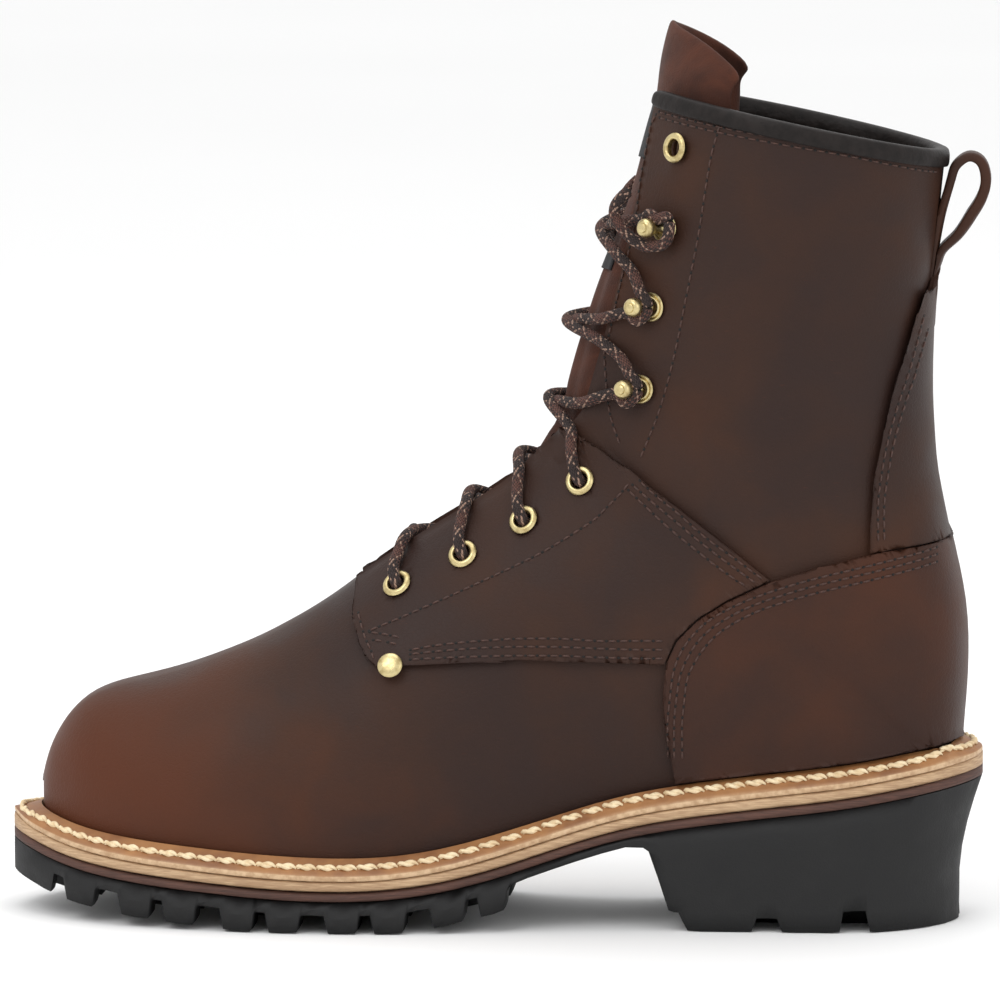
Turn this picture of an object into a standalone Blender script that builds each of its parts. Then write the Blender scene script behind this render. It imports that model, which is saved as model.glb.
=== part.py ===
"""Logger boot, left foot: leather upper on a stacked leather sole with a lugged rubber unit.

Metres. +X runs from the heel to the toe, +Y to the outer side of the foot, +Z up. The origin is on
the floor under the middle of the heel tread. The boot stands empty on its heel and its ball.
"""
import math

import bmesh
import bpy
import numpy as np
from mathutils import Vector
from mathutils.bvhtree import BVHTree

# Sole: outline, side line and layers
SOLE_LENGTH = 0.316      # rear of the heel seat to the tip of the toe
HEEL_BEHIND = 0.055      # origin to the rear of the heel seat
BALL_WIDTH = 0.108       # widest place of the welt
HEEL_WIDTH = 0.077       # heel seat, across the welt
HEEL_RISE = 0.0373       # how much higher the rear of the seat is than the ball
TOE_SPRING = 0.0138      # how much higher the toe is than the ball
RUBBER_WEB = 0.0042      # rubber between the lugs and the leather
WAIST_RUBBER = 0.0032    # rubber under the arch
LUG_DEPTH = 0.0060
RUNNER_THICK = 0.0032    # dark leather layer
MIDSOLE_THICK = 0.0036   # tan leather layer
WELT_EDGE = 0.0014       # welt, at its outer edge
WELT_RISE = 0.0050       # how much the welt climbs towards the upper
WELT_WIDTH = 0.0090      # outer edge of the welt to the upper
INSOLE_THICK = 0.0032

# Lugs of the forefoot and notches of the heel
LUG_PITCH = 0.0169
FIRST_GAP = 0.2425       # middle of the gap nearest to the toe
LUG_GAPS = 9
WIDE_GAP = 0.0078
NARROW_GAP = 0.0036
LUG_FLANK = 0.0010       # slope of a lug's side, along the floor
WAIST_FRONT = 0.0960     # rear end of the forefoot lugs
BREAST_FRONT = 0.0520    # heel breast, at the arch
BREAST_LEAN = 0.0130     # how far the breast runs back towards the floor
HEEL_NOTCHES = ((0.0100, 0.0170, 0.0045), (-0.0215, -0.0125, 0.0070))   # rear, front, depth
HEEL_TUCK = 0.0080       # how far the rear of the heel narrows below the seat
HEEL_SIDE_TUCK = 0.0022

# Upper: rises are counted from the top of the midsole at the ball
WALL = 0.0022
INSTEP_RISE = 0.1290     # to the bend of the ankle
SHAFT_RISE = 0.2505      # to the front of the collar
COLLAR_DROP = 0.0205     # front of the collar to its rear
SHAFT_WIDTH = 0.0890     # across the collar
THROAT_LOW = 0.0190      # width of the throat at its foot
THROAT_HIGH = 0.0310     # width of the throat at the collar
OVERLAY = 0.0020         # quarter, backstay
COUNTER_THICK = 0.0024
TONGUE_THICK = 0.0028
LOOP_THICK = 0.0034      # pull loop, a folded strap
LOOP_WIDTH = 0.0160
LOOP_FOOT = 0.1900       # foot of the pull loop, above the ball's midsole
LOOP_CROTCH = 0.0095     # where its two legs part, above the foot
LOOP_LEG = 0.0270        # straight part of the leg that lies on the wall
BINDING_THICK = 0.0014
BINDING_DEPTH = 0.0042
GAP = 0.0003             # clearance between curved faces that touch
NEST = 0.0005            # clearance between the wall and the tongue

# Hardware and laces
EYELET_RADIUS = 0.0047
EYELET_HOLE = 0.0023
EYELET_RIM = 0.0011      # how proud the rim stands
BARREL_THICK = 0.0006    # tube of an eyelet
HOOK_BASE = 0.0046
HOOK_HEAD = 0.0031
HOOK_REACH = 0.0062      # base to the middle of the head
HOOK_LEAN = 0.0030       # how far the head leans to the throat
RIVET_RADIUS = 0.0040
LACE = 0.0038            # diameter
BUTT = 0.0006            # clearance between overlays that meet edge to edge
WELT_CLEAR = 0.0009      # clearance between the welt and the wall, whose facets differ
WELT_ROOM = 0.0014       # clearance between the counter's lower edge and the welt

# Outline of the welt. Widths are shares of the local width, heel or ball.
#          place  outer  inner
OUTLINE = ((0.047, 0.364, 0.364),
           (0.110, 0.480, 0.468),
           (0.174, 0.500, 0.487),
           (0.270, 0.484, 0.440),
           (0.364, 0.442, 0.351),
           (0.459, 0.433, 0.343),
           (0.554, 0.454, 0.412),
           (0.649, 0.472, 0.491),
           (0.728, 0.463, 0.519),
           (0.807, 0.426, 0.500),
           (0.880, 0.366, 0.430),
           (0.934, 0.278, 0.333),
           (0.968, 0.185, 0.222))

# Side line of the sole: shares of the heel rise and of the toe spring.
#            place  heel   toe
SIDE_LINE = ((0.000, 1.000, 0.000),
             (0.070, 0.906, 0.000),
             (0.146, 0.800, 0.000),
             (0.225, 0.718, 0.000),
             (0.297, 0.638, 0.000),
             (0.361, 0.548, 0.000),
             (0.405, 0.437, 0.000),
             (0.440, 0.338, 0.000),
             (0.478, 0.222, 0.000),
             (0.528, 0.115, 0.000),
             (0.566, 0.048, 0.000),
             (0.604, 0.013, 0.000),
             (0.640, 0.000, 0.000),
             (0.731, 0.000, 0.058),
             (0.790, 0.000, 0.160),
             (0.851, 0.000, 0.275),
             (0.908, 0.000, 0.440),
             (0.937, 0.000, 0.565),
             (0.965, 0.000, 0.746),
             (1.000, 0.000, 1.000))

# Ribs of the upper, toe to collar. A rib runs from the sole, or from the back line, to the ridge.
# foot: place of its foot on the welt, or 0 on the back line. climb: height on the back line.
# back: place of the back line. top, rise: place and height of the ridge, where 1 is the ankle
# bend and 2 the collar. base, shaft: its half width as shares of its foot's and of the shaft's.
# low, high: fullness below and above the widest point. ridge: sideways place, of the ball width.
#       foot  climb  back   top    rise   base  shaft  low   high  ridge
RIBS = ((1.000, 0.00, 0.026, 0.9725, 0.178, 1.03, 0.000, 1.00, 0.90, -0.030),
        (0.965, 0.00, 0.026, 0.9570, 0.302, 1.04, 0.000, 1.00, 0.80, -0.034),
        (0.910, 0.00, 0.026, 0.9180, 0.415, 1.05, 0.000, 1.00, 0.80, -0.037),
        (0.835, 0.00, 0.026, 0.8420, 0.465, 1.05, 0.000, 1.00, 0.82, -0.037),
        (0.750, 0.00, 0.026, 0.7640, 0.533, 1.05, 0.000, 1.00, 0.88, -0.037),
        (0.662, 0.00, 0.026, 0.6850, 0.638, 1.05, 0.000, 1.00, 0.97, -0.034),
        (0.600, 0.00, 0.026, 0.6300, 0.736, 1.00, 0.100, 1.00, 1.10, -0.030),
        (0.510, 0.00, 0.026, 0.5600, 0.868, 0.80, 0.280, 0.95, 1.25, -0.020),
        (0.370, 0.00, 0.026, 0.4840, 1.000, 0.50, 0.530, 0.90, 1.35, -0.012),
        (0.255, 0.00, 0.026, 0.4640, 1.075, 0.38, 0.610, 0.86, 1.38, -0.009),
        (0.155, 0.00, 0.026, 0.4520, 1.130, 0.30, 0.660, 0.80, 1.40, -0.006),
        (0.080, 0.00, 0.026, 0.4465, 1.170, 0.24, 0.720, 0.72, 1.40, -0.003),
        (0.030, 0.00, 0.026, 0.4430, 1.200, 0.15, 0.800, 0.66, 1.40, 0.000),
        (0.000, 0.00, 0.026, 0.4410, 1.230, 0.00, 0.870, 0.62, 1.40, 0.000),
        (0.000, 0.227, 0.0206, 0.4290, 1.337, 0.00, 0.885, 0.65, 1.40, 0.000),
        (0.000, 0.443, 0.0506, 0.4130, 1.469, 0.00, 0.900, 0.72, 1.40, 0.000),
        (0.000, 0.655, 0.0600, 0.3930, 1.626, 0.00, 0.930, 0.80, 1.35, 0.000),
        (0.000, 0.861, 0.0490, 0.3700, 1.811, 0.00, 0.975, 0.85, 1.30, 0.000),
        (0.000, 1.000, 0.0410, 0.3500, 2.000, 0.00, 1.000, 0.88, 1.25, 0.000))
# Two more ribs carry the top of the tongue, which leans back inside the collar.
TONGUE_RIBS = ((0.000, 0.975, 0.0350, 0.3400, 2.095, 0.00, 0.950, 0.88, 1.20, 0.000),
               (0.000, 0.900, 0.0200, 0.3220, 2.195, 0.00, 0.860, 0.88, 1.20, 0.000))
HEEL_ROW = 13
HEEL_TURN = 3            # rows that turn round the heel
TOE_ROWS = 7             # rows ahead of the ball
STAY_COLUMNS = 5         # columns on each side of the back line that the backstay may use
THROAT_ROW = 6
COLLAR_ROW = 18
HALVES = 2               # ribs for each row of the table
SIDE_STEPS = 8           # columns from a rib's foot to the edge of the throat
CROWN_STEPS = 3          # columns from there to the ridge
TONGUE_HIDDEN = 2        # columns of the tongue under the facing

# Stations of the laces: row of the ribs, distance from the edge of the throat
EYELETS = ((6.50, 0.0165), (7.31, 0.0180), (8.05, 0.0185), (9.88, 0.0200))
TOP_EYELET = (17.37, 0.0175)
RIVET = (6.34, 0.0430)
LACE_APART = 0.0026      # a station to the middle of each lace that comes to it, along the throat
LACE_FALL = 0.35         # share of the throat's half width after which a lace falls to the tongue
HOOKS = ((14.20, 0.0250), (15.41, 0.0220), (16.41, 0.0205))

# Outlines of the overlays from the side: place along the sole, height above the ball's midsole
QUARTER = ((0.6420, 0.0820), (0.6410, 0.0960), (0.6500, 0.1500), (0.4300, 0.1420), (0.4130, 0.1405),
           (0.4030, 0.1385), (0.3920, 0.1370), (0.3770, 0.1340), (0.3540, 0.1300), (0.3350, 0.1250),
           (0.2980, 0.1170), (0.2560, 0.1070), (0.2150, 0.0970), (0.2150, 0.0690), (0.4680, 0.0705),
           (0.6120, 0.0675), (0.6260, 0.0710))
COUNTER = ((0.3200, 0.0500), (0.3220, 0.0600), (0.3180, 0.0700), (0.3080, 0.0770), (0.2860, 0.0840),
           (0.2560, 0.0900), (0.2160, 0.0960), (0.1650, 0.1010), (0.1050, 0.1055), (0.0420, 0.1075),
           (-0.0600, 0.1090))
BACKSTAY = ((0.1150, 0.0900), (0.1140, 0.1150), (0.1100, 0.1300), (0.1020, 0.1430), (0.0940, 0.1540),
            (0.0830, 0.1660), (0.0700, 0.1790), (0.0600, 0.1870), (-0.0600, 0.1870), (-0.0600, 0.0900))

# Pull loop: middle line of the strap above its foot, from the wall over the top and back down.
#             behind  above
LOOP_PATH = ((0.0048, 0.0330),
             (0.0066, 0.0366),
             (0.0094, 0.0382),
             (0.0122, 0.0368),
             (0.0137, 0.0330),
             (0.0135, 0.0285),
             (0.0114, 0.0232),
             (0.0086, 0.0184))
# End of a lace, from behind the hook to its tip: towards the throat, up the shaft, off the leather
LACE_TIP = ((-0.0044, 0.0022, 0.0039),
            (-0.0032, -0.0040, 0.0039),
            (0.0012, -0.0056, 0.0039),
            (0.0064, -0.0054, 0.0040),
            (0.0118, -0.0016, 0.0056),
            (0.0148, 0.0040, 0.0074),
            (0.0134, 0.0082, 0.0078),
            (0.0096, 0.0118, 0.0070))
TIP_POINTS = 11

TURN_STEPS = 8           # faces round a piece of hardware
BALL_STEPS = 4           # rings of a hook's ball
OUTLINE_STEPS = 26       # stations along the sole

HEEL_BACK = -HEEL_BEHIND
FOREFOOT_RUBBER = RUBBER_WEB + LUG_DEPTH
BALL_TOP = FOREFOOT_RUBBER + RUNNER_THICK + MIDSOLE_THICK

MATERIALS = {            # colour, roughness, metallic
    "oiled_leather": ((0.075, 0.043, 0.034), 0.50, 0.0),
    "foxing_leather": ((0.090, 0.045, 0.032), 0.48, 0.0),
    "tongue_leather": ((0.105, 0.040, 0.020), 0.70, 0.0),
    "welt_leather": ((0.260, 0.095, 0.035), 0.55, 0.0),
    "midsole_leather": ((0.520, 0.310, 0.180), 0.65, 0.0),
    "runner_leather": ((0.090, 0.050, 0.040), 0.70, 0.0),
    "insole_leather": ((0.450, 0.290, 0.170), 0.80, 0.0),
    "rubber": ((0.030, 0.030, 0.032), 0.75, 0.0),
    "binding": ((0.040, 0.037, 0.035), 0.80, 0.0),
    "antique_brass": ((0.560, 0.430, 0.230), 0.35, 1.0),
    "lace": ((0.080, 0.050, 0.030), 0.90, 0.0),
}

for old in list(bpy.data.objects):
    bpy.data.objects.remove(old, do_unlink=True)


def smooth(xs, ys, x):
    """A soft curve through the points (xs, ys), read at x."""
    xs, ys = np.asarray(xs, float), np.asarray(ys, float)
    slopes = np.gradient(ys, xs)
    i = int(np.clip(np.searchsorted(xs, x) - 1, 0, len(xs) - 2))
    width = xs[i + 1] - xs[i]
    t = min(max((x - xs[i]) / width, 0.0), 1.0)
    return ((2 * t**3 - 3 * t**2 + 1) * ys[i] + (t**3 - 2 * t**2 + t) * width * slopes[i]
            + (3 * t**2 - 2 * t**3) * ys[i + 1] + (t**3 - t**2) * width * slopes[i + 1])


def ease(value, low, high):
    """0 below low, 1 above high, soft between."""
    t = min(max((value - low) / (high - low), 0.0), 1.0)
    return t * t * (3 - 2 * t)


def place_x(place):
    return HEEL_BACK + place * SOLE_LENGTH


def x_place(x):
    return (x - HEEL_BACK) / SOLE_LENGTH


# Sole outline and layers

def half_width(place, inner):
    """Half width of the welt at a place along the sole."""
    rows = [(row[0], row[2 if inner else 1] / (2 * math.sqrt(row[0] * (1 - row[0])))) for row in OUTLINE]
    roundness = smooth([row[0] for row in rows], [row[1] for row in rows], place)
    local = HEEL_WIDTH + (BALL_WIDTH - HEEL_WIDTH) * ease(place, 0.2, 0.6)
    return roundness * local * 2 * math.sqrt(max(place * (1 - place), 0.0))


def outline_point(place, side, inset):
    """A point of the sole's outline, moved inwards square to the edge. side is +1 outer, -1 inner."""
    inner = side < 0
    turn = math.acos(1 - 2 * place)

    def at(angle):
        share = (1 - math.cos(angle)) / 2
        spread = half_width(share, inner) * (1 if math.sin(angle) >= 0 else -1)
        return np.array([place_x(share), side * spread])

    step = 0.02
    along = at(turn + step) - at(turn - step)
    normal = np.array([-along[1], along[0]]) * side
    return at(turn) - inset * normal / np.linalg.norm(normal)


def rubber_top(x):
    """Height of the top of the rubber at x."""
    place = min(max(x_place(x), 0.0), 1.0)
    columns = list(zip(*SIDE_LINE))
    return (FOREFOOT_RUBBER + HEEL_RISE * smooth(columns[0], columns[1], place)
            + TOE_SPRING * smooth(columns[0], columns[2], place))


def midsole_top(x):
    return rubber_top(x) + RUNNER_THICK + MIDSOLE_THICK


def stations(steps=OUTLINE_STEPS):
    """Places along the sole, closer together at the toe and the heel."""
    return [(1 - math.cos(math.pi * i / steps)) / 2 for i in range(steps + 1)]


def material(name):
    found = bpy.data.materials.get(name)
    if found:
        return found
    colour, roughness, metallic = MATERIALS[name]
    new = bpy.data.materials.new(name)
    new.use_nodes = True
    shader = new.node_tree.nodes["Principled BSDF"]
    shader.inputs["Base Color"].default_value = (*colour, 1.0)
    shader.inputs["Roughness"].default_value = roughness
    shader.inputs["Metallic"].default_value = metallic
    new.diffuse_color = (*colour, 1.0)
    return new


def finish(name, shape, finish_name, smooth_angle=math.radians(40)):
    """Turn a bmesh into a named object. Points that coincide are merged, faces point outwards."""
    bmesh.ops.remove_doubles(shape, verts=shape.verts, dist=1e-6)
    bmesh.ops.recalc_face_normals(shape, faces=shape.faces)
    mesh = bpy.data.meshes.new(name)
    shape.to_mesh(mesh)
    shape.free()
    mesh.materials.append(material(finish_name))
    mesh.shade_smooth()
    mesh.set_sharp_from_angle(angle=smooth_angle)
    made = bpy.data.objects.new(name, mesh)
    bpy.context.collection.objects.link(made)
    return made


def cutter(made):
    made.hide_render = True
    made.display_type = "WIRE"
    return made


def boolean(made, tool, operation):
    step = made.modifiers.new(operation.lower(), "BOOLEAN")
    step.operation = operation
    step.solver = "EXACT"
    step.object = cutter(tool)


def loft(rows, closed_rows=False, cap=True):
    """A closed solid through rings of points. With closed_rows the last ring meets the first."""
    shape = bmesh.new()
    rings = [[shape.verts.new(point) for point in row] for row in rows]
    count = len(rings[0])
    pairs = list(zip(rings, rings[1:] + ([rings[0]] if closed_rows else [])))
    for low, high in pairs:
        for i in range(count):
            j = (i + 1) % count
            shape.faces.new((low[i], low[j], high[j], high[i]))
    if cap and not closed_rows:
        shape.faces.new(rings[0])
        shape.faces.new(rings[-1])
    return shape


def plate(name, finish_name, inset, bottom, top):
    """A layer of the sole: the outline moved inwards by inset, between two heights over x."""
    rows = []
    for place in stations():
        outer = outline_point(place, 1, inset)
        inner = outline_point(place, -1, inset)
        rows.append([(outer[0], outer[1], bottom(outer[0])), (inner[0], inner[1], bottom(inner[0])),
                     (inner[0], inner[1], top(inner[0])), (outer[0], outer[1], top(outer[0]))])
    return finish(name, loft(rows, cap=False), finish_name)


def make_outsole():
    """One rubber unit: heel, arch and lugged forefoot. Its underside is a grid with steps in it."""
    gap_lines = []
    for index in range(LUG_GAPS):
        middle = FIRST_GAP - index * LUG_PITCH
        half = (WIDE_GAP if index % 2 else NARROW_GAP) / 2
        gap_lines.append((middle - half, middle + half, bool(index % 2)))
    breast_rear = BREAST_FRONT - BREAST_LEAN
    lines = {}               # x: what the underside is there

    def add(x, kind):
        lines[round(x, 5)] = kind

    for place in stations():
        x = place_x(place)
        near_notch = any(low - LUG_FLANK < x < high + LUG_FLANK for low, high, _ in HEEL_NOTCHES)
        if x > FIRST_GAP + WIDE_GAP:
            add(x, "toe")
        elif BREAST_FRONT + 0.002 < x < WAIST_FRONT - 0.002:
            add(x, "waist")
        elif x < breast_rear - 0.002 and not near_notch:
            add(x, "heel")
    for low, high, wide in gap_lines:
        add(low - LUG_FLANK, "lug")
        add(low, "wide" if wide else "narrow")
        add(high, "wide" if wide else "narrow")
        add(high + LUG_FLANK, "lug")
    for low, high, _ in HEEL_NOTCHES:
        add(low - LUG_FLANK, "heel")
        add(low, "notch")
        add(high, "notch")
        add(high + LUG_FLANK, "heel")
    add(WAIST_FRONT, "waist")
    add(WAIST_FRONT + LUG_FLANK, "lug")
    add(BREAST_FRONT, "waist")
    add(breast_rear + BREAST_LEAN * 0.45, "step")
    add(breast_rear + BREAST_LEAN * 0.22, "step")
    add(breast_rear, "heel")

    # Columns across the sole, as shares of the half width, and whether each is in a side lug,
    # in the channel beside it or in the middle lugs
    columns = [(1.0, "side"), (0.56, "side"), (0.50, "channel"), (0.40, "channel"), (0.34, "middle"),
               (-0.34, "middle"), (-0.40, "channel"), (-0.50, "channel"), (-0.56, "side"), (-1.0, "side")]

    def underside(x, kind, column):
        top = rubber_top(x)
        web = top - RUBBER_WEB
        tread = max(0.0, top - FOREFOOT_RUBBER - 0.0010)
        if kind == "waist":
            return top - WAIST_RUBBER
        if kind == "toe":
            return tread
        if kind == "heel":
            return 0.0
        if kind == "step":
            return LUG_DEPTH
        if kind == "notch":
            depth = next(row[2] for row in HEEL_NOTCHES if row[0] - 1e-4 <= x <= row[1] + 1e-4)
            return depth if column == "side" else 0.0
        if kind == "lug":
            return web if column == "channel" else tread
        if kind == "wide" or column != "middle":
            return web
        return tread

    def tuck(point, drop, total):
        """Below the seat the heel narrows: more at the rear than at the sides."""
        share = min(max(drop / total, 0.0), 1.0)
        curve = math.sin(min(share * 1.35, 1.0) * math.pi / 2) - 0.15 * max(share - 0.74, 0.0) / 0.26
        rear = ease(-x_place(point[0]), -0.20, 0.0)
        front = ease(x_place(point[0]), 0.28, 0.36)
        x = point[0] + HEEL_TUCK * curve * rear
        y = point[1] - math.copysign(HEEL_SIDE_TUCK * curve * (1 - front), point[1]) if point[1] else 0.0
        return x, y

    shape = bmesh.new()
    xs = sorted(lines)
    xs = [HEEL_BACK] + [x for x in xs if HEEL_BACK + 1e-4 < x < place_x(1) - 1e-4] + [place_x(1)]
    levels = 3
    seat_x = [place_x(place) for place in stations()]
    seat_z = [rubber_top(x) for x in seat_x]
    grid = []
    for x in xs:
        kind = lines.get(round(x, 5), "heel" if x < 0 else "toe")
        place = min(max(x_place(x), 0.0), 1.0)
        outer, inner = half_width(place, False), half_width(place, True)
        top = float(np.interp(x, seat_x, seat_z)) - GAP
        bottom_row = []
        for share, column in columns:
            y = share * (outer if share > 0 else inner)
            z = underside(x, kind, column)
            px, py = tuck((x, y), top - z, top) if x < BREAST_FRONT + 1e-4 else (x, y)
            bottom_row.append((px, py, z))
        sides = []
        for y, end in ((outer, bottom_row[0]), (-inner, bottom_row[-1])):
            run = []
            for level in range(levels + 1):
                z = top + (end[2] - top) * level / levels
                px, py = tuck((x, y), top - z, top) if x < BREAST_FRONT + 1e-4 else (x, y)
                run.append((px, py, z))
            sides.append(run)
        grid.append((sides[0] + bottom_row[1:-1] + sides[1][::-1]))
    rings = [[shape.verts.new(point) for point in row] for row in grid]
    for low, high in zip(rings, rings[1:]):
        for i in range(len(low)):
            j = (i + 1) % len(low)
            shape.faces.new((low[i], low[j], high[j], high[i]))
    bmesh.ops.remove_doubles(shape, verts=shape.verts, dist=1e-6)
    ends = [edge for edge in shape.edges if edge.is_boundary]
    if ends:
        bmesh.ops.holes_fill(shape, edges=ends)
    return finish("outsole", shape, "rubber")


# Upper: one surface for the wall, the overlays and the tongue

TABLE = RIBS + TONGUE_RIBS
COLUMN = {name: index for index, name in enumerate(
    ("foot", "climb", "back", "top", "rise", "base", "shaft", "low", "high", "ridge"))}


def rib_value(name, row):
    values = [line[COLUMN[name]] for line in TABLE]
    return smooth(range(len(values)), values, row)


def rib(row):
    """Sizes of the rib at a row, whole or between two rows of the table."""
    collar_back = BALL_TOP + SHAFT_RISE - COLLAR_DROP
    heel = outline_point(0.0, 1, WELT_WIDTH)
    heel_z = midsole_top(heel[0]) + GAP
    if row < HEEL_ROW:
        place = min(max(rib_value("foot", row), 0.0), 1.0)
        feet = [outline_point(place, side, WELT_WIDTH) for side in (1, -1)]
        feet = [(foot[0], foot[1], midsole_top(foot[0]) + GAP) for foot in feet]
        if place >= 1.0:
            feet = [(feet[0][0], 0.0, feet[0][2])] * 2
    else:
        climb = max(rib_value("climb", row), 0.0)
        back = place_x(rib_value("back", row))
        back = heel[0] + (back - heel[0]) * ease(climb, 0.0, 0.10)
        feet = [(back, 0.0, heel_z + climb * (collar_back - heel_z))] * 2
    rise = rib_value("rise", row)
    steps = [BALL_TOP, BALL_TOP + INSTEP_RISE, BALL_TOP + SHAFT_RISE, BALL_TOP + 2 * SHAFT_RISE - INSTEP_RISE]
    ridge = (place_x(rib_value("top", row)), BALL_WIDTH * rib_value("ridge", row),
             float(np.interp(rise, [0, 1, 2, 3], steps)))
    foot_half = (feet[0][1] - feet[1][1]) / 2
    widest = rib_value("base", row) * foot_half + rib_value("shaft", row) * SHAFT_WIDTH / 2
    widest = max(widest, foot_half * 1.01, 1e-6)
    low, high = rib_value("low", row), rib_value("high", row)
    start = math.asin(min((foot_half / widest) ** (1 / low), 1.0))
    throat = (THROAT_LOW + (THROAT_HIGH - THROAT_LOW) * ease(row, THROAT_ROW, COLLAR_ROW)) / 2
    edge = math.pi - math.asin(min(throat / widest, 0.45) ** (1 / high))
    return {"feet": feet, "ridge": ridge, "widest": widest, "low": low, "high": high,
            "start": start, "edge": edge}


def rib_point(sizes, angle, side):
    """A point of a rib. The angle runs from its foot (start) to the ridge (pi)."""
    foot = sizes["feet"][0 if side > 0 else 1]
    middle = (sizes["feet"][0][1] + sizes["feet"][1][1]) / 2
    ridge = sizes["ridge"]
    begin = math.cos(sizes["start"])
    share = (begin - math.cos(angle)) / (1 + begin)
    fullness = sizes["low"] if angle < math.pi / 2 else sizes["high"]
    spread = sizes["widest"] * max(math.sin(angle), 0.0) ** fullness
    return Vector((foot[0] + share * (ridge[0] - foot[0]),
                   middle + share * (ridge[1] - middle) + side * spread,
                   foot[2] + share * (ridge[2] - foot[2])))


STEPS = SIDE_STEPS + CROWN_STEPS


def angles(sizes):
    side = np.linspace(sizes["start"], sizes["edge"], SIDE_STEPS + 1)
    crown = np.linspace(sizes["edge"], math.pi, CROWN_STEPS + 1)
    return list(side) + list(crown[1:])


THROAT = THROAT_ROW * HALVES
COLLAR = COLLAR_ROW * HALVES


def in_tongue(m):
    edge = SIDE_STEPS - TONGUE_HIDDEN
    return edge <= m < 2 * STEPS - edge


def in_throat(i, m):
    return i >= THROAT and SIDE_STEPS <= m < 2 * STEPS - SIDE_STEPS


def in_upper(i, m):
    return i < COLLAR and not in_throat(i, m)


class Last:
    """The upper's outer surface as one triangle mesh, from which every layer is offset."""

    def __init__(self):
        self.mesh = bmesh.new()
        self.verts = {}
        self.rows = (len(TABLE) - 1) * HALVES + 1
        for i in range(self.rows):
            sizes = rib(i / HALVES)
            turns = angles(sizes)
            closed = i >= HEEL_ROW * HALVES
            for m in range(2 * STEPS + 1):
                side = 1 if m <= STEPS else -1
                twin = 2 * STEPS - m
                if side < 0 and (i == 0 or (closed and twin == 0)):
                    self.verts[i, m] = self.verts[i, twin]
                    continue
                if i == 0 and m == STEPS:
                    self.verts[i, m] = self.verts[i, m - 1]
                    continue
                point = rib_point(sizes, turns[min(m, twin)], side)
                self.verts[i, m] = self.mesh.verts.new(point)
        self.faces = {}
        for i in range(self.rows - 1):
            for m in range(2 * STEPS):
                if i >= COLLAR and not in_tongue(m):
                    continue
                a, b = self.verts[i, m], self.verts[i + 1, m]
                c, d = self.verts[i + 1, m + 1], self.verts[i, m + 1]
                halves = ((a, b, c), (a, c, d)) if m < STEPS else ((a, b, d), (b, c, d))
                self.faces[i, m] = [self.mesh.faces.new(half) for half in halves if len(set(half)) == 3]
        self.mesh.normal_update()
        probe = self.faces[8 * HALVES, STEPS // 2][0]
        if probe.normal.y < 0:
            bmesh.ops.reverse_faces(self.mesh, faces=self.mesh.faces)
            self.mesh.normal_update()

    def shell(self, keep, inside, outside, sink=lambda i: 0.0):
        """A closed solid over the cells that keep(i, m) picks, between two offsets. sink(i) lowers it."""
        shape = bmesh.new()
        copies = {}
        row_of = {vert: i for (i, m), vert in self.verts.items()}

        def copy(vert, offset):
            key = (vert, offset)
            if key not in copies:
                lift = offset - sink(row_of[vert])
                copies[key] = shape.verts.new(vert.co + vert.normal * lift)
            return copies[key]

        edges = {}
        for (i, m), faces in self.faces.items():
            if not keep(i, m):
                continue
            for face in faces:
                loop = list(face.verts)
                shape.faces.new([copy(vert, outside) for vert in loop])
                shape.faces.new([copy(vert, inside) for vert in reversed(loop)])
                for a, b in zip(loop, loop[1:] + loop[:1]):
                    edges[a, b] = edges.get((a, b), 0) + 1
        for a, b in edges:
            if (b, a) not in edges:
                shape.faces.new((copy(b, outside), copy(a, outside), copy(a, inside), copy(b, inside)))
        return shape

    def station(self, row, setback, side):
        """A point of the surface beside the throat, and the direction outwards there."""
        sizes = rib(row)
        angle, step, run = sizes["edge"], 0.01, 0.0
        point = rib_point(sizes, angle, side)
        while run < setback and angle > sizes["start"]:
            angle -= step
            following = rib_point(sizes, angle, side)
            run += (following - point).length
            point = following
        across = rib_point(sizes, angle + step, side) - rib_point(sizes, angle - step, side)
        ahead, behind = rib(row + 0.05), rib(row - 0.05)
        along = rib_point(ahead, angle, side) - rib_point(behind, angle, side)
        normal = along.cross(across) * side
        return point, normal.normalized(), angle


LAST = Last()


def side_prism(name, outline, low, high):
    """A cutter with a side view's outline, from one sideways place to another."""
    points = [(place_x(place), BALL_TOP + height) for place, height in outline]
    rows = [[(x, y, z) for x, z in points] for y in (low, high)]
    return finish(name, loft(rows), "oiled_leather")


def grow(outline, amount):
    """An outline whose every side is moved outwards. Its lengths are shares of the sole's length."""
    points = [np.array([place_x(place), BALL_TOP + height]) for place, height in outline]
    area = sum(a[0] * b[1] - a[1] * b[0] for a, b in zip(points, points[1:] + points[:1]))
    grown = []
    for before, here, after in zip(points[-1:] + points[:-1], points, points[1:] + points[:1]):
        first, second = here - before, after - here
        first, second = first / np.linalg.norm(first), second / np.linalg.norm(second)
        corner = np.array([first[1] + second[1], -first[0] - second[0]]) * math.copysign(1, area)
        corner *= 2 * amount / max(corner @ corner, 0.5)
        grown.append((x_place(here[0] + corner[0]), here[1] + corner[1] - BALL_TOP))
    return grown


def turned(profile, point, axis, steps=TURN_STEPS):
    """A solid turned round an axis. The profile holds (radius, height) pairs; radius 0 closes it."""
    turn = Vector((0, 0, 1)).rotation_difference(axis).to_matrix()
    rows = []
    for radius, height in profile:
        row = []
        for i in range(steps):
            angle = 2 * math.pi * i / steps
            local = Vector((radius * math.cos(angle), radius * math.sin(angle), height))
            row.append(point + turn @ local)
        rows.append(row)
    return rows


def make_upper(tools):
    shape = LAST.shell(in_upper, -WALL, 0.0)
    upper = finish("upper", shape, "oiled_leather")
    boolean(upper, tools, "DIFFERENCE")
    return upper


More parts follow.
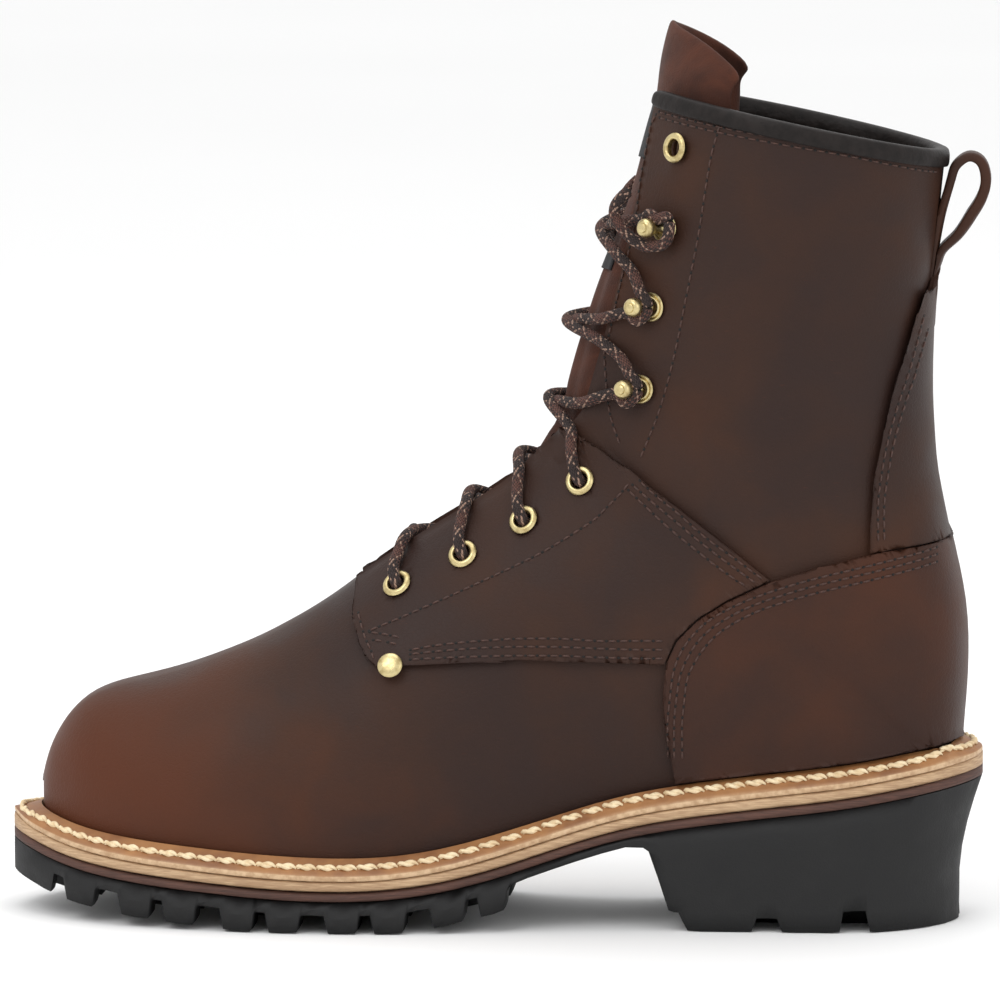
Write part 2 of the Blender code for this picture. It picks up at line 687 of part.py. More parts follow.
def make_welt():
    """A ring round the whole foot. Its inner face follows the upper's wall."""
    rows = []
    wall = BVHTree.FromBMesh(LAST.mesh)
    ribs = [i / HALVES for i in range((HEEL_ROW - HEEL_TURN) * HALVES)]
    ribs += [HEEL_ROW - HEEL_TURN + i / (2 * HALVES) for i in range(2 * HEEL_TURN * HALVES + 1)]
    for side in (1, -1):
        order = ribs if side > 0 else ribs[-2:0:-1]
        for row in order:
            sizes = rib(row)
            foot = sizes["feet"][0 if side > 0 else 1]
            place = min(max(rib_value("foot", row), 0.0), 1.0) if row < HEEL_ROW else 0.0
            edge = outline_point(place, side, 0.0)
            away = Vector((edge[0] - foot[0], edge[1] - foot[1], 0)).normalized()
            height = foot[2] + WELT_EDGE + WELT_RISE
            start = Vector((edge[0], edge[1], height)) + away * WELT_WIDTH
            hit = wall.ray_cast(start, -away, 4 * WELT_WIDTH)[0]
            high = (hit if hit else Vector((foot[0], foot[1], height))) + away * WELT_CLEAR
            low = Vector(foot) + away * WELT_CLEAR
            base = midsole_top(edge[0]) + GAP
            rows.append([(edge[0], edge[1], base), (edge[0], edge[1], base + WELT_EDGE),
                         (high.x, high.y, height), (low.x, low.y, foot[2])])
    welt = finish("welt", loft(rows, closed_rows=True), "welt_leather")
    room = LAST.shell(lambda i, m: HEEL_ROW - HEEL_TURN <= i / HALVES < HEEL_ROW + 1
                      and not SIDE_STEPS // 2 <= m < 2 * STEPS - SIDE_STEPS // 2, -WALL, 2 * GAP)
    boolean(welt, finish("welt_room", room, "welt_leather"), "DIFFERENCE")
    return welt


def make_overlay(name, finish_name, outline, low, high, keep, thick):
    made = finish(name, LAST.shell(keep, GAP, GAP + thick), finish_name)
    boolean(made, side_prism(name + "_outline", outline, low, high), "INTERSECT")
    return made


def surface_tree(made):
    """The evaluated mesh of an object, for dropping hardware onto it."""
    return BVHTree.FromObject(made, bpy.context.evaluated_depsgraph_get())


def seat(tree, point, normal):
    """Where the surface lies under a point, coming from outside."""
    hit = tree.ray_cast(point + normal * 0.02, -normal, 0.04)
    return (hit[0], hit[1]) if hit[0] else (point, normal)


def make_eyelet(name, point, normal, depth):
    """A rolled rim with a short barrel into the leather."""
    barrel = EYELET_HOLE + BARREL_THICK
    profile = [(EYELET_HOLE, -depth), (barrel, GAP - depth), (barrel, 3 * GAP), (EYELET_RADIUS, 2 * GAP),
               (barrel + GAP, 2 * GAP + EYELET_RIM), (EYELET_HOLE, 2 * GAP + EYELET_RIM * 0.5)]
    rows = turned(profile, point, normal)
    return finish(name, loft(rows, closed_rows=True), "antique_brass")


def make_hook(name, point, normal, forward):
    """A base ring, an arm that leans to the throat and a ball."""
    rows = turned([(HOOK_BASE, 2 * GAP), (HOOK_BASE, 0.0016)], point, normal)
    base = finish(name, loft(rows), "antique_brass")
    head_at = point + normal * HOOK_REACH + forward * HOOK_LEAN
    lean = (head_at - point).normalized()
    arm = finish(name + "_arm", loft(turned([(0.0019, 0.0010), (0.0017, HOOK_REACH)], point, lean, 5)),
                 "antique_brass")
    ball = [(HOOK_HEAD * max(math.sin(math.pi * i / BALL_STEPS), 0.2),
             -HOOK_HEAD * math.cos(math.pi * i / BALL_STEPS)) for i in range(BALL_STEPS + 1)]
    head = finish(name + "_head", loft(turned(ball, head_at, normal)), "antique_brass")
    boolean(base, arm, "UNION")
    boolean(base, head, "UNION")
    return base


def tube(points, radius, sides=5):
    """A round cord through points, with flat ends."""
    rows = []
    for i, point in enumerate(points):
        ahead = points[min(i + 1, len(points) - 1)] - points[max(i - 1, 0)]
        axis = ahead.normalized()
        up = Vector((0, 0, 1)) if abs(axis.z) < 0.9 else Vector((1, 0, 0))
        first = axis.cross(up).normalized()
        second = axis.cross(first)
        rows.append([point + (first * math.cos(2 * math.pi * k / sides)
                              + second * math.sin(2 * math.pi * k / sides)) * radius for k in range(sides)])
    return loft(rows)


def rows_in(row, angle, side, distance):
    """How many rows of the ribs a distance along the throat is."""
    reach = rib_point(rib(row + 0.5), angle, side) - rib_point(rib(row - 0.5), angle, side)
    return distance / reach.length


def lace_run(start, end, side, over=0.0):
    """The middle line of a lace from a station on one side to a station on the other.

    over carries the far end that far past its station.
    """
    first_row = start[0] + rows_in(start[0], start[1], side, LACE_APART)
    last_row = end[0] + rows_in(end[0], end[1], -side, over - LACE_APART)
    fall = LACE_FALL / 2
    stops = (0.0, 0.20, 0.5 - fall, 0.5, 0.5 + fall, 0.80, 1.0)
    points = []
    for t in stops:
        (row, angle, layer), sign = (start, side) if t < 0.5 else (end, -side)
        row = first_row + (last_row - first_row) * t
        sizes = rib(row)
        off = abs(2 * t - 1)
        beyond = sizes["edge"] + (math.pi - sizes["edge"]) * LACE_FALL
        outer = min(angle, sizes["edge"])
        angle = math.pi if off < 1e-6 else beyond if off < 0.5 else (outer + beyond) / 2 if off < 0.9 else outer
        here = rib_point(sizes, angle, sign)
        ahead, behind = rib(row + 0.05), rib(row - 0.05)
        along = rib_point(ahead, angle, sign) - rib_point(behind, angle, sign)
        across = rib_point(sizes, min(angle + 0.02, math.pi), sign) - rib_point(sizes, angle - 0.02, sign)
        normal = (along.cross(across) * sign).normalized()
        if off < 1e-6:
            normal = Vector((normal.x, 0, normal.z)).normalized()
        height = LACE / 2 - WALL + GAP if off < 1e-6 else layer + 2 * GAP + LACE / 2
        points.append(here + normal * height)
    return points


def make_lace_end(name, point, normal, forward, side):
    """The free end of a lace: round its hook, over the last crossing, then up to the tip."""
    up = normal.cross(forward) * side
    up = up if up.z > 0 else -up
    curve = bpy.data.curves.new(name, "CURVE")
    curve.dimensions = "3D"
    curve.bevel_depth = LACE / 2
    curve.bevel_resolution = 2
    curve.use_fill_caps = True
    spline = curve.splines.new("POLY")
    spline.points.add(TIP_POINTS - 1)
    for knot, t in zip(spline.points, np.linspace(0, len(LACE_TIP) - 1, TIP_POINTS)):
        ahead, climb, off = (smooth(range(len(LACE_TIP)), column, t) for column in zip(*LACE_TIP))
        knot.co = (*(point + forward * ahead + up * climb + normal * off), 1.0)
    curve.materials.append(material("lace"))
    made = bpy.data.objects.new(name, curve)
    bpy.context.collection.objects.link(made)
    return made


# Build, from the floor up

make_outsole()
plate("runner", "runner_leather", 0.0, rubber_top, lambda x: rubber_top(x) + RUNNER_THICK - GAP)
plate("midsole", "midsole_leather", 0.0, lambda x: rubber_top(x) + RUNNER_THICK, midsole_top)
plate("insole", "insole_leather", WELT_WIDTH + WALL + 3 * GAP, lambda x: midsole_top(x) + GAP,
      lambda x: midsole_top(x) + GAP + INSOLE_THICK)
make_welt()

quarters = {}
for side, label in ((1, "outer"), (-1, "inner")):
    columns = (lambda m: m < SIDE_STEPS) if side > 0 else (lambda m: m >= 2 * STEPS - SIDE_STEPS)
    quarters[side] = make_overlay(
        "quarter_" + label, "oiled_leather", QUARTER, *sorted((0.0, side * BALL_WIDTH)),
        lambda i, m, columns=columns: THROAT - HALVES <= i < (HEEL_ROW + 1) * HALVES and columns(m), OVERLAY)
welt_line = []
for half_row in range(HEEL_ROW * HALVES, TOE_ROWS * HALVES, -1):
    for foot in rib(half_row / HALVES)["feet"]:
        welt_line.append((x_place(foot[0]), foot[2] + WELT_EDGE + WELT_RISE + WELT_ROOM - BALL_TOP))
welt_line = sorted(row for row in welt_line if row[0] < COUNTER[0][0])
welt_line = [(COUNTER[-1][0], welt_line[0][1])] + welt_line
counter_outline = list(COUNTER) + welt_line
counter_room = side_prism("counter_room", grow(COUNTER + ((COUNTER[-1][0], 0.0), (COUNTER[0][0], 0.0)), BUTT),
                          -BALL_WIDTH, BALL_WIDTH)
for side in (1, -1):
    boolean(quarters[side], counter_room, "DIFFERENCE")
counter = make_overlay(
    "counter", "foxing_leather", counter_outline, -BALL_WIDTH, BALL_WIDTH,
    lambda i, m: TOE_ROWS * HALVES <= i < (HEEL_ROW + HEEL_TURN) * HALVES and not in_throat(i, m)
    and (m < SIDE_STEPS - 1 or m >= 2 * STEPS - SIDE_STEPS + 1), COUNTER_THICK)
backstay = make_overlay(
    "backstay", "oiled_leather", BACKSTAY, -BALL_WIDTH, BALL_WIDTH,
    lambda i, m: HEEL_ROW * HALVES <= i < COLLAR and (m < STAY_COLUMNS or m >= 2 * STEPS - STAY_COLUMNS),
    OVERLAY)
boolean(backstay, counter_room, "DIFFERENCE")

finish("tongue", LAST.shell(
    lambda i, m: i >= THROAT - 1 and in_tongue(m), -WALL - NEST - TONGUE_THICK, -WALL - NEST,
    lambda i: (BINDING_THICK + 2 * GAP) * ease(i, COLLAR - 3 * HALVES, COLLAR - HALVES)), "tongue_leather")


def make_binding():
    """A soft band folded over the rim, from one edge of the throat round the back to the other."""
    columns = list(range(2 * STEPS - SIDE_STEPS, 2 * STEPS)) + list(range(0, SIDE_STEPS + 1))
    rows = []
    for m in columns:
        vert = LAST.verts[COLLAR, m]
        below = LAST.verts[COLLAR - 1, m]
        out = vert.normal
        down = (below.co - vert.co).normalized()
        drop = BINDING_DEPTH
        outer, inner = GAP, -WALL - GAP
        path = [(outer, drop), (outer + BINDING_THICK, drop), (outer + BINDING_THICK, -BINDING_THICK * 0.5),
                (outer, -BINDING_THICK - GAP), (inner, -BINDING_THICK - GAP),
                (inner - BINDING_THICK, -BINDING_THICK * 0.5), (inner - BINDING_THICK, drop), (inner, drop),
                (inner, -GAP), (outer, -GAP)]
        rows.append([vert.co + out * across + down * along for across, along in path])
    return finish("binding", loft(rows), "binding")


make_binding()


def make_pull_loop():
    """A strap folded into a loop behind the collar. Its two legs join at the foot."""
    wall = [LAST.verts[i, 0].co for i in range(HEEL_ROW * HALVES, COLLAR + 1)]
    foot = BALL_TOP + LOOP_FOOT

    def behind(height):
        """Where the wall's back line lies at a height."""
        return float(np.interp(height, [point.z for point in wall], [point.x for point in wall]))

    leg = [(-0.5 * LOOP_THICK - 2 * GAP + behind(foot + up), foot + up)
           for up in np.linspace(LOOP_CROTCH + LOOP_THICK, LOOP_LEG, 3)]
    base = behind(foot + LOOP_LEG)
    line = leg + [(base - back, foot + up) for back, up in LOOP_PATH]
    rows = []
    for i, (x, z) in enumerate(line):
        ahead, before = line[min(i + 1, len(line) - 1)], line[max(i - 1, 0)]
        along = np.array([ahead[0] - before[0], ahead[1] - before[1]])
        out = np.array([along[1], -along[0]]) / np.linalg.norm(along) * LOOP_THICK / 2
        rows.append(((x + out[0], z + out[1]), (x - out[0], z - out[1])))
    rows.append(((behind(foot) - 2 * GAP - LOOP_THICK / 2, foot),
                 (behind(foot) - 2 * GAP - LOOP_THICK, foot + LOOP_CROTCH)))
    half = LOOP_WIDTH / 2
    rings = [[(a[0], -half, a[1]), (a[0], half, a[1]), (b[0], half, b[1]), (b[0], -half, b[1])]
             for a, b in rows]
    return finish("pull_loop", loft(rings, closed_rows=True), "oiled_leather")


make_pull_loop()

# Hardware: places on the true surface, then dropped onto the layer that carries them
seats = []
for side, label in ((1, "outer"), (-1, "inner")):
    for index, (row, setback) in enumerate(EYELETS + (TOP_EYELET,)):
        point, normal, angle = LAST.station(row, setback, side)
        seats.append((label, index, side, point, normal, row, angle))
holes = bmesh.new()
for label, index, side, point, normal, row, angle in seats:
    drill = EYELET_HOLE + BARREL_THICK + GAP
    rows = turned([(drill, -0.009), (drill, 0.009)], point, normal)
    part = loft(rows)
    piece = bpy.data.meshes.new("hole")
    part.to_mesh(piece)
    part.free()
    holes.from_mesh(piece)
hole_tool = finish("eyelet_holes", holes, "antique_brass")
upper = make_upper(hole_tool)
for side in (1, -1):
    boolean(quarters[side], hole_tool, "DIFFERENCE")
bpy.context.view_layer.update()

wall_tree = surface_tree(upper)
lace_ends = {1: [], -1: []}
for label, index, side, point, normal, row, angle in seats:
    low = index < len(EYELETS)
    lift = OVERLAY + GAP if low else 0.0
    make_eyelet("eyelet_%s_%d" % (label, index + 1), point + normal * lift, normal, lift + WALL * 0.5)
    if low:
        near = EYELETS[index][1] - EYELET_RADIUS - LACE / 2 - GAP
        lace_ends[side].append((row, LAST.station(row, near, side)[2], OVERLAY))
for side, label in ((1, "outer"), (-1, "inner")):
    for index, (row, setback) in enumerate(HOOKS):
        point, normal, angle = LAST.station(row, setback, side)
        at, face = seat(wall_tree, point, normal)
        forward = Vector((1, 0, 0)) - face * face.x
        make_hook("hook_%s_%d" % (label, index + 1), at, face, forward.normalized())
        near = setback - HOOK_BASE - LACE / 2 - GAP
        lace_ends[side].append((row, LAST.station(row, near, side)[2], 0.0))
    make_lace_end("lace_end_" + label, at, face, forward.normalized(), side)
    point, normal, angle = LAST.station(*RIVET, side)
    dome = turned([(RIVET_RADIUS, 2 * GAP), (RIVET_RADIUS * 0.92, 4 * GAP), (RIVET_RADIUS * 0.5, 6 * GAP)],
                  point + normal * (OVERLAY + GAP), normal)
    finish("rivet_" + label, loft(dome), "antique_brass")

for index in range(len(lace_ends[1]) - 1):
    over = 3 * LACE_APART if index == len(lace_ends[1]) - 2 else 0.0
    first = lace_run(lace_ends[1][index], lace_ends[-1][index + 1], 1, over)
    second = lace_run(lace_ends[-1][index], lace_ends[1][index + 1], -1, over)
    cross = finish("lace_cross_%d" % (index + 1), tube(first, LACE / 2), "lace")
    other = finish("lace_cross_%d_over" % (index + 1), tube(second, LACE / 2), "lace")
    boolean(cross, other, "UNION")
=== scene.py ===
"""Logger boot, left foot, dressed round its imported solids.

Metres. +X runs from the heel to the toe, +Y to the outer side of the foot, +Z up.
"""
import math

import bmesh
import bpy
import numpy as np
from mathutils import Matrix, Vector, noise
from mathutils.bvhtree import BVHTree
from mathutils.geometry import intersect_point_line
from mathutils.interpolate import poly_3d_calc


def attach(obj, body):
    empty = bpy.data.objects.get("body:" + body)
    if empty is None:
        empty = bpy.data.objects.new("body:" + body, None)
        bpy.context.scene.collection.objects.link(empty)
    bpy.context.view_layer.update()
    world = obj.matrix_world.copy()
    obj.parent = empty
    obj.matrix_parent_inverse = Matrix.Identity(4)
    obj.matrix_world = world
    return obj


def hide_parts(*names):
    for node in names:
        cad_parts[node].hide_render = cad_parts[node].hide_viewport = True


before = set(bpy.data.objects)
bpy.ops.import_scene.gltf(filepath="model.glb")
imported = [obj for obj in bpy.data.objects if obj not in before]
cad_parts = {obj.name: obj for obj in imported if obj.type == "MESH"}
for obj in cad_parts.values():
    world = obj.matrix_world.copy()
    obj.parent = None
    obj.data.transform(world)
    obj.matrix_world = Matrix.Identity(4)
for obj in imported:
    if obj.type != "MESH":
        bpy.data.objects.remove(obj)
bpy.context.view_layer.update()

# Camera
# A long lens a little over two metres away, at the height of a table top, looks slightly down
# on the outer side of the boot and a few degrees from its front.
PIXEL = 0.322e-3             # size of one of the 1000 pixels at the boot
CAMERA_AWAY = 2.2
CAMERA_HEIGHT = 0.385
CAMERA_YAW = math.radians(4.5)
MIDDLE_ALONG = 315 * PIXEL   # middle of the picture, ahead of the origin
MIDDLE_HEIGHT = 419.5 * PIXEL
SENSOR = 36.0

fall = math.atan((CAMERA_HEIGHT - MIDDLE_HEIGHT) / CAMERA_AWAY)
turn = Matrix.Rotation(CAMERA_YAW, 3, "Z")
look = turn @ Vector((0, -math.cos(fall), -math.sin(fall)))
right = turn @ Vector((-1, 0, 0))
upwards = right.cross(look)
bpy.ops.object.select_all(action="DESELECT")
bpy.ops.object.camera_add()
camera = bpy.context.object
camera.data.sensor_width = SENSOR
camera.data.lens = math.hypot(CAMERA_AWAY, CAMERA_HEIGHT - MIDDLE_HEIGHT) / PIXEL * SENSOR / 1000
camera_at = turn @ Vector((MIDDLE_ALONG, CAMERA_AWAY, CAMERA_HEIGHT))
camera_turn = Matrix((right, upwards, -look)).transposed().to_4x4()
camera.matrix_world = Matrix.Translation(camera_at) @ camera_turn
bpy.context.scene.camera = camera

# Laces
# One round braided lace, brown and black yarn with tan flecks. It comes up through each lower
# eyelet and dives under the other facing, then goes round the necks of the hooks.
LACE = 0.0038
LACE_STEP = 0.0005
LACE_SIDES = 24
BRAID_STRANDS = 12
BRAID_PITCH = 0.0014         # length of one diamond of the braid
EYELET_AT = {                # from the toe up: place, direction outwards, in mm
    1: (((133.0, 21.7, 109.1), (.356, .682, .639)), ((111.8, 22.7, 119.0), (.303, .777, .552)),
        ((92.2, 23.6, 130.3), (.357, .793, .493)), ((74.1, 24.2, 143.2), (.336, .87, .361)),
        ((43.6, 29.4, 250.1), (.678, .726, .117))),
    -1: (((132.8, -26.9, 108.2), (.238, -.746, .622)), ((111.5, -25.3, 118.0), (.203, -.84, .503)),
         ((91.6, -25.2, 129.4), (.311, -.841, .442)), ((74.0, -25.2, 143.2), (.297, -.877, .378)),
         ((43.6, -29.4, 250.1), (.678, -.726, .117)))}
HOOK_AT = (((54.4, 28.2, 173.3), (.439, .898, .036)), ((50.9, 29.2, 199.6), (.52, .854, .016)),
           ((46.7, 29.8, 224.7), (.554, .831, .054)))
LACE_END = ((45.2, 35.4, 227.2), (45.7, 35.3, 222.5), (47.4, 34.3, 219.9), (50.2, 32.5, 219.2),
            (53.2, 30.5, 219.0), (56.9, 28.9, 220.8), (60.5, 27.9, 224.0), (62.9, 27.5, 228.0),
            (62.9, 28.0, 231.2), (61.2, 28.7, 233.9), (58.5, 29.6, 236.5))
SIDES = ((1, "outer"), (-1, "inner"))
MM = 0.001
CURVE_STEPS = 24             # between two given points of a curve
BRAID_RELIEF = 0.07          # share of the radius that the strands stand up
END_SHARE, END_RUN = 0.62, 0.0012    # share of the radius at a cut end, and where it is full


def places(side):
    """Every station of the laces on one side, from the toe up: (place, direction outwards)."""
    hooks = [((x, side * y, z), (nx, side * ny, nz)) for (x, y, z), (nx, ny, nz) in HOOK_AT]
    return [(Vector(at) * MM, Vector(out).normalized())
            for at, out in EYELET_AT[side][:4] + tuple(hooks)]


def tree_of(*names):
    """The surfaces of CAD nodes or of finished pieces, for dropping things onto them."""
    points, faces = [], []
    for name in names:
        mesh = bpy.data.objects[name].data
        faces += [[len(points) + i for i in face.vertices] for face in mesh.polygons]
        points += [vert.co.copy() for vert in mesh.vertices]
    return BVHTree.FromPolygons(points, faces)


def through(points, step):
    """Points every step along a smooth curve through the given ones."""
    points = [Vector(point) for point in points]
    padded = [points[0] * 2 - points[1]] + points + [points[-1] * 2 - points[-2]]
    fine = []
    for before, start, end, after in zip(padded, padded[1:], padded[2:], padded[3:]):
        for t in np.linspace(0, 1, CURVE_STEPS, endpoint=False):
            fine.append(0.5 * (2 * start + (end - before) * t
                               + (2 * before - 5 * start + 4 * end - after) * t**2
                               + (3 * start - before - 3 * end + after) * t**3))
    fine.append(points[-1])
    fine = np.array([tuple(point) for point in fine])
    run = np.concatenate(([0], np.cumsum(np.linalg.norm(np.diff(fine, axis=0), axis=1))))
    count = max(int(round(run[-1] / step)), 2) + 1
    at = np.linspace(0, run[-1], count)
    return np.stack([np.interp(at, run, fine[:, axis]) for axis in range(3)], axis=1)


def put(name, mesh):
    made = bpy.data.objects.new(name, mesh)
    bpy.context.collection.objects.link(made)
    return made


def link(name, points, faces, material):
    """A new piece from points and faces."""
    mesh = bpy.data.meshes.new(name)
    mesh.from_pydata([tuple(point) for point in points], [], [tuple(face) for face in faces])
    mesh.materials.append(material)
    mesh.shade_smooth()
    return put(name, mesh)


def tube(rings, sides, base=0):
    """The faces round a row of rings of points, closed at both ends."""
    faces = []
    for ring in range(base, base + (rings - 1) * sides, sides):
        for k in range(sides):
            n = (k + 1) % sides
            faces.append((ring + k, ring + n, ring + sides + n, ring + sides + k))
    ends = range(base, base + sides), range(base + (rings - 1) * sides, base + rings * sides)
    return faces + [tuple(reversed(ends[0])), tuple(ends[1])]


def braided(name, lines, material):
    """Round cords along lines, braided in their surface and their UV map (metres, turns)."""
    points, faces, uvs = [], [], []
    around = np.arange(LACE_SIDES) / LACE_SIDES
    for line in lines:
        ahead = np.gradient(line, axis=0)
        ahead /= np.linalg.norm(ahead, axis=1)[:, None]
        first = np.cross(ahead[0], (0.3, 0.5, 0.8))
        base = len(points)
        for i, (centre, axis) in enumerate(zip(line, ahead)):
            first = first - axis * first.dot(axis)
            first /= np.linalg.norm(first)
            second = np.cross(axis, first)
            end = min(i, len(line) - 1 - i) * LACE_STEP
            waist = LACE / 2 * min(1.0, END_SHARE + end / END_RUN)
            one = around * BRAID_STRANDS + i * LACE_STEP / BRAID_PITCH
            two = around * BRAID_STRANDS - i * LACE_STEP / BRAID_PITCH
            over = (np.floor(one) + np.floor(two)) % 2 < 0.5
            relief = np.where(over, np.sin(np.pi * (one % 1)), np.sin(np.pi * (two % 1)))
            radius = waist * (1 - BRAID_RELIEF + BRAID_RELIEF * relief)
            for angle, size in zip(around * 2 * math.pi, radius):
                points.append(centre + size * (first * math.cos(angle) + second * math.sin(angle)))
        faces += tube(len(line), LACE_SIDES, base)
        for i in range(len(line) - 1):
            near, far = i * LACE_STEP, (i + 1) * LACE_STEP
            for left in around:
                right = left + 1 / LACE_SIDES
                uvs += [(near, left), (near, right), (far, right), (far, left)]
        uvs += [(0.0, 0.0)] * LACE_SIDES * 2
    made = link(name, points, faces, material)
    made.data.uv_layers.new(name="UVMap").data.foreach_set("uv", np.array(uvs, np.float32).ravel())
    return made


class Wire:
    """A value inside a material. Arithmetic on it adds Math nodes; Wire.add adds any other node."""

    tree = None

    def __init__(self, socket):
        self.socket = socket

    @classmethod
    def add(cls, kind, settings=None, sockets=None, out=0):
        node = cls.tree.nodes.new("ShaderNode" + kind)
        for name, value in (settings or {}).items():
            setattr(node, name, value)
        for name, value in (sockets or {}).items():
            if isinstance(value, Wire):
                cls.tree.links.new(value.socket, node.inputs[name])
            else:
                node.inputs[name].default_value = value
        return cls(node.outputs[out])

    def math(self, operation, other=0.0, swap=False):
        first, second = (other, self) if swap else (self, other)
        return Wire.add("Math", {"operation": operation}, {0: first, 1: second})

    def __add__(self, other):
        return self.math("ADD", other)

    def __sub__(self, other):
        return self.math("SUBTRACT", other)

    def __rsub__(self, other):
        return self.math("SUBTRACT", other, swap=True)

    def __mul__(self, other):
        return self.math("MULTIPLY", other)

    __radd__ = __add__
    __rmul__ = __mul__


def begin(name):
    made = bpy.data.materials.new(name)
    made.use_nodes = True
    Wire.tree = made.node_tree
    Wire.tree.nodes.clear()
    return made


def end_material(shader):
    node = Wire.tree.nodes.new("ShaderNodeOutputMaterial")
    Wire.tree.links.new(shader.socket, node.inputs["Surface"])


def close(colour, roughness, height=None, depth=0.0, **constants):
    """Ends a material. height is a relief of 0 to 1, and depth how many metres 1 is."""
    sockets = {"Base Color": colour, "Roughness": roughness}
    if height:
        bump = {"Strength": 1.0, "Distance": depth, "Height": height}
        sockets["Normal"] = Wire.add("Bump", None, bump)
    sockets.update({name.replace("_", " "): value for name, value in constants.items()})
    end_material(Wire.add("BsdfPrincipled", None, sockets))


def shade(factor, first, second):
    """Two colours, mixed by a factor."""
    return Wire.add("Mix", {"data_type": "RGBA"},
                    {0: factor, 6: (*first, 1) if isinstance(first, tuple) else first,
                     7: (*second, 1) if isinstance(second, tuple) else second}, out=2)


def ramp(value, low, high):
    """0 below low and 1 above high, soft between; the other way round if low is above high."""
    if low > high:
        return 1 - ramp(value, high, low)
    return Wire.add("MapRange", {"interpolation_type": "SMOOTHSTEP"},
                    {"Value": value, "From Min": low, "From Max": high})


def spots(place, scale, detail=2.0, roughness=0.5, distortion=0.0):
    """Soft noise, scale features in a metre."""
    return Wire.add("TexNoise", None, {"Vector": place, "Scale": scale, "Detail": detail,
                                       "Roughness": roughness, "Distortion": distortion})


def object_place():
    """Where the point lies on the boot, in metres."""
    return Wire.add("TexCoord", out=3)


def part(vector, axis):
    """One number of a vector: 0 for X, 1 for Y, 2 for Z."""
    return Wire.add("SeparateXYZ", None, {0: vector}, out=axis)


lace_yarn = begin("lace_yarn")
uv = Wire.add("TexCoord", out=2)
along, around_v = part(uv, 0), part(uv, 1)
strand_one = around_v * BRAID_STRANDS + along * (1 / BRAID_PITCH)
strand_two = around_v * BRAID_STRANDS - along * (1 / BRAID_PITCH)
rest_one, rest_two = strand_one.math("FRACT"), strand_two.math("FRACT")
number_one, number_two = strand_one - rest_one, strand_two - rest_two
under = ramp(((number_one + number_two) * 0.5).math("FRACT"), 0.2, 0.3)
top_number = number_one * (1 - under) + (number_two + 3.0) * under
yarn = (top_number * (1 / BRAID_STRANDS)).math("FRACT") * BRAID_STRANDS
tan_yarn = (ramp((yarn - 1.0).math("ABSOLUTE"), 0.6, 0.4)
            + ramp((yarn - 8.0).math("ABSOLUTE"), 0.6, 0.4))
brown_yarn = ramp((yarn - 5.0).math("ABSOLUTE"), 2.1, 1.9)
crown = ((rest_one * math.pi).math("SINE") * (1 - under)
         + (rest_two * math.pi).math("SINE") * under)
yarn_colour = shade(brown_yarn, (0.026, 0.013, 0.011), (0.105, 0.042, 0.03))
yarn_colour = shade(tan_yarn, yarn_colour, (0.3, 0.185, 0.135))
# Painted shade: the yarn goes near-black in the grooves between the braid's strands, where crown is
# low.
yarn_colour = shade(ramp(crown, 0.0, 0.7), (0.008, 0.005, 0.004), yarn_colour)
close(yarn_colour, 0.85, crown, 0.0004)

facings = tree_of("upper", "quarter_outer", "quarter_inner", "tongue")
tongue_only = tree_of("tongue")


def laid(start, end, across, climb, surface, lift):
    """A point between two stations on each side, dropped onto a surface."""
    (near_low, near_out_low), (near_high, near_out_high) = start
    (far_low, far_out_low), (far_high, far_out_high) = end
    near, far = near_low.lerp(near_high, climb), far_low.lerp(far_high, climb)
    near_out = near_out_low.lerp(near_out_high, climb)
    out = near_out.lerp(far_out_low.lerp(far_out_high, climb), across).normalized()
    at = near.lerp(far, across)
    hit = surface.ray_cast(at + out * 0.04, -out, 0.09)[0]
    return (hit or at) + out * (LACE / 2 + lift)


def round_hook(at, out, steps):
    """Points at a hook: (ahead to the throat, up, off the leather) in mm for each."""
    ahead = (Vector((1, 0, 0)) - out * out.x).normalized()
    up = out.cross(ahead)
    up = up if up.z > 0 else -up
    return [at + (ahead * a + up * b + out * c) * MM for a, b, c in steps]


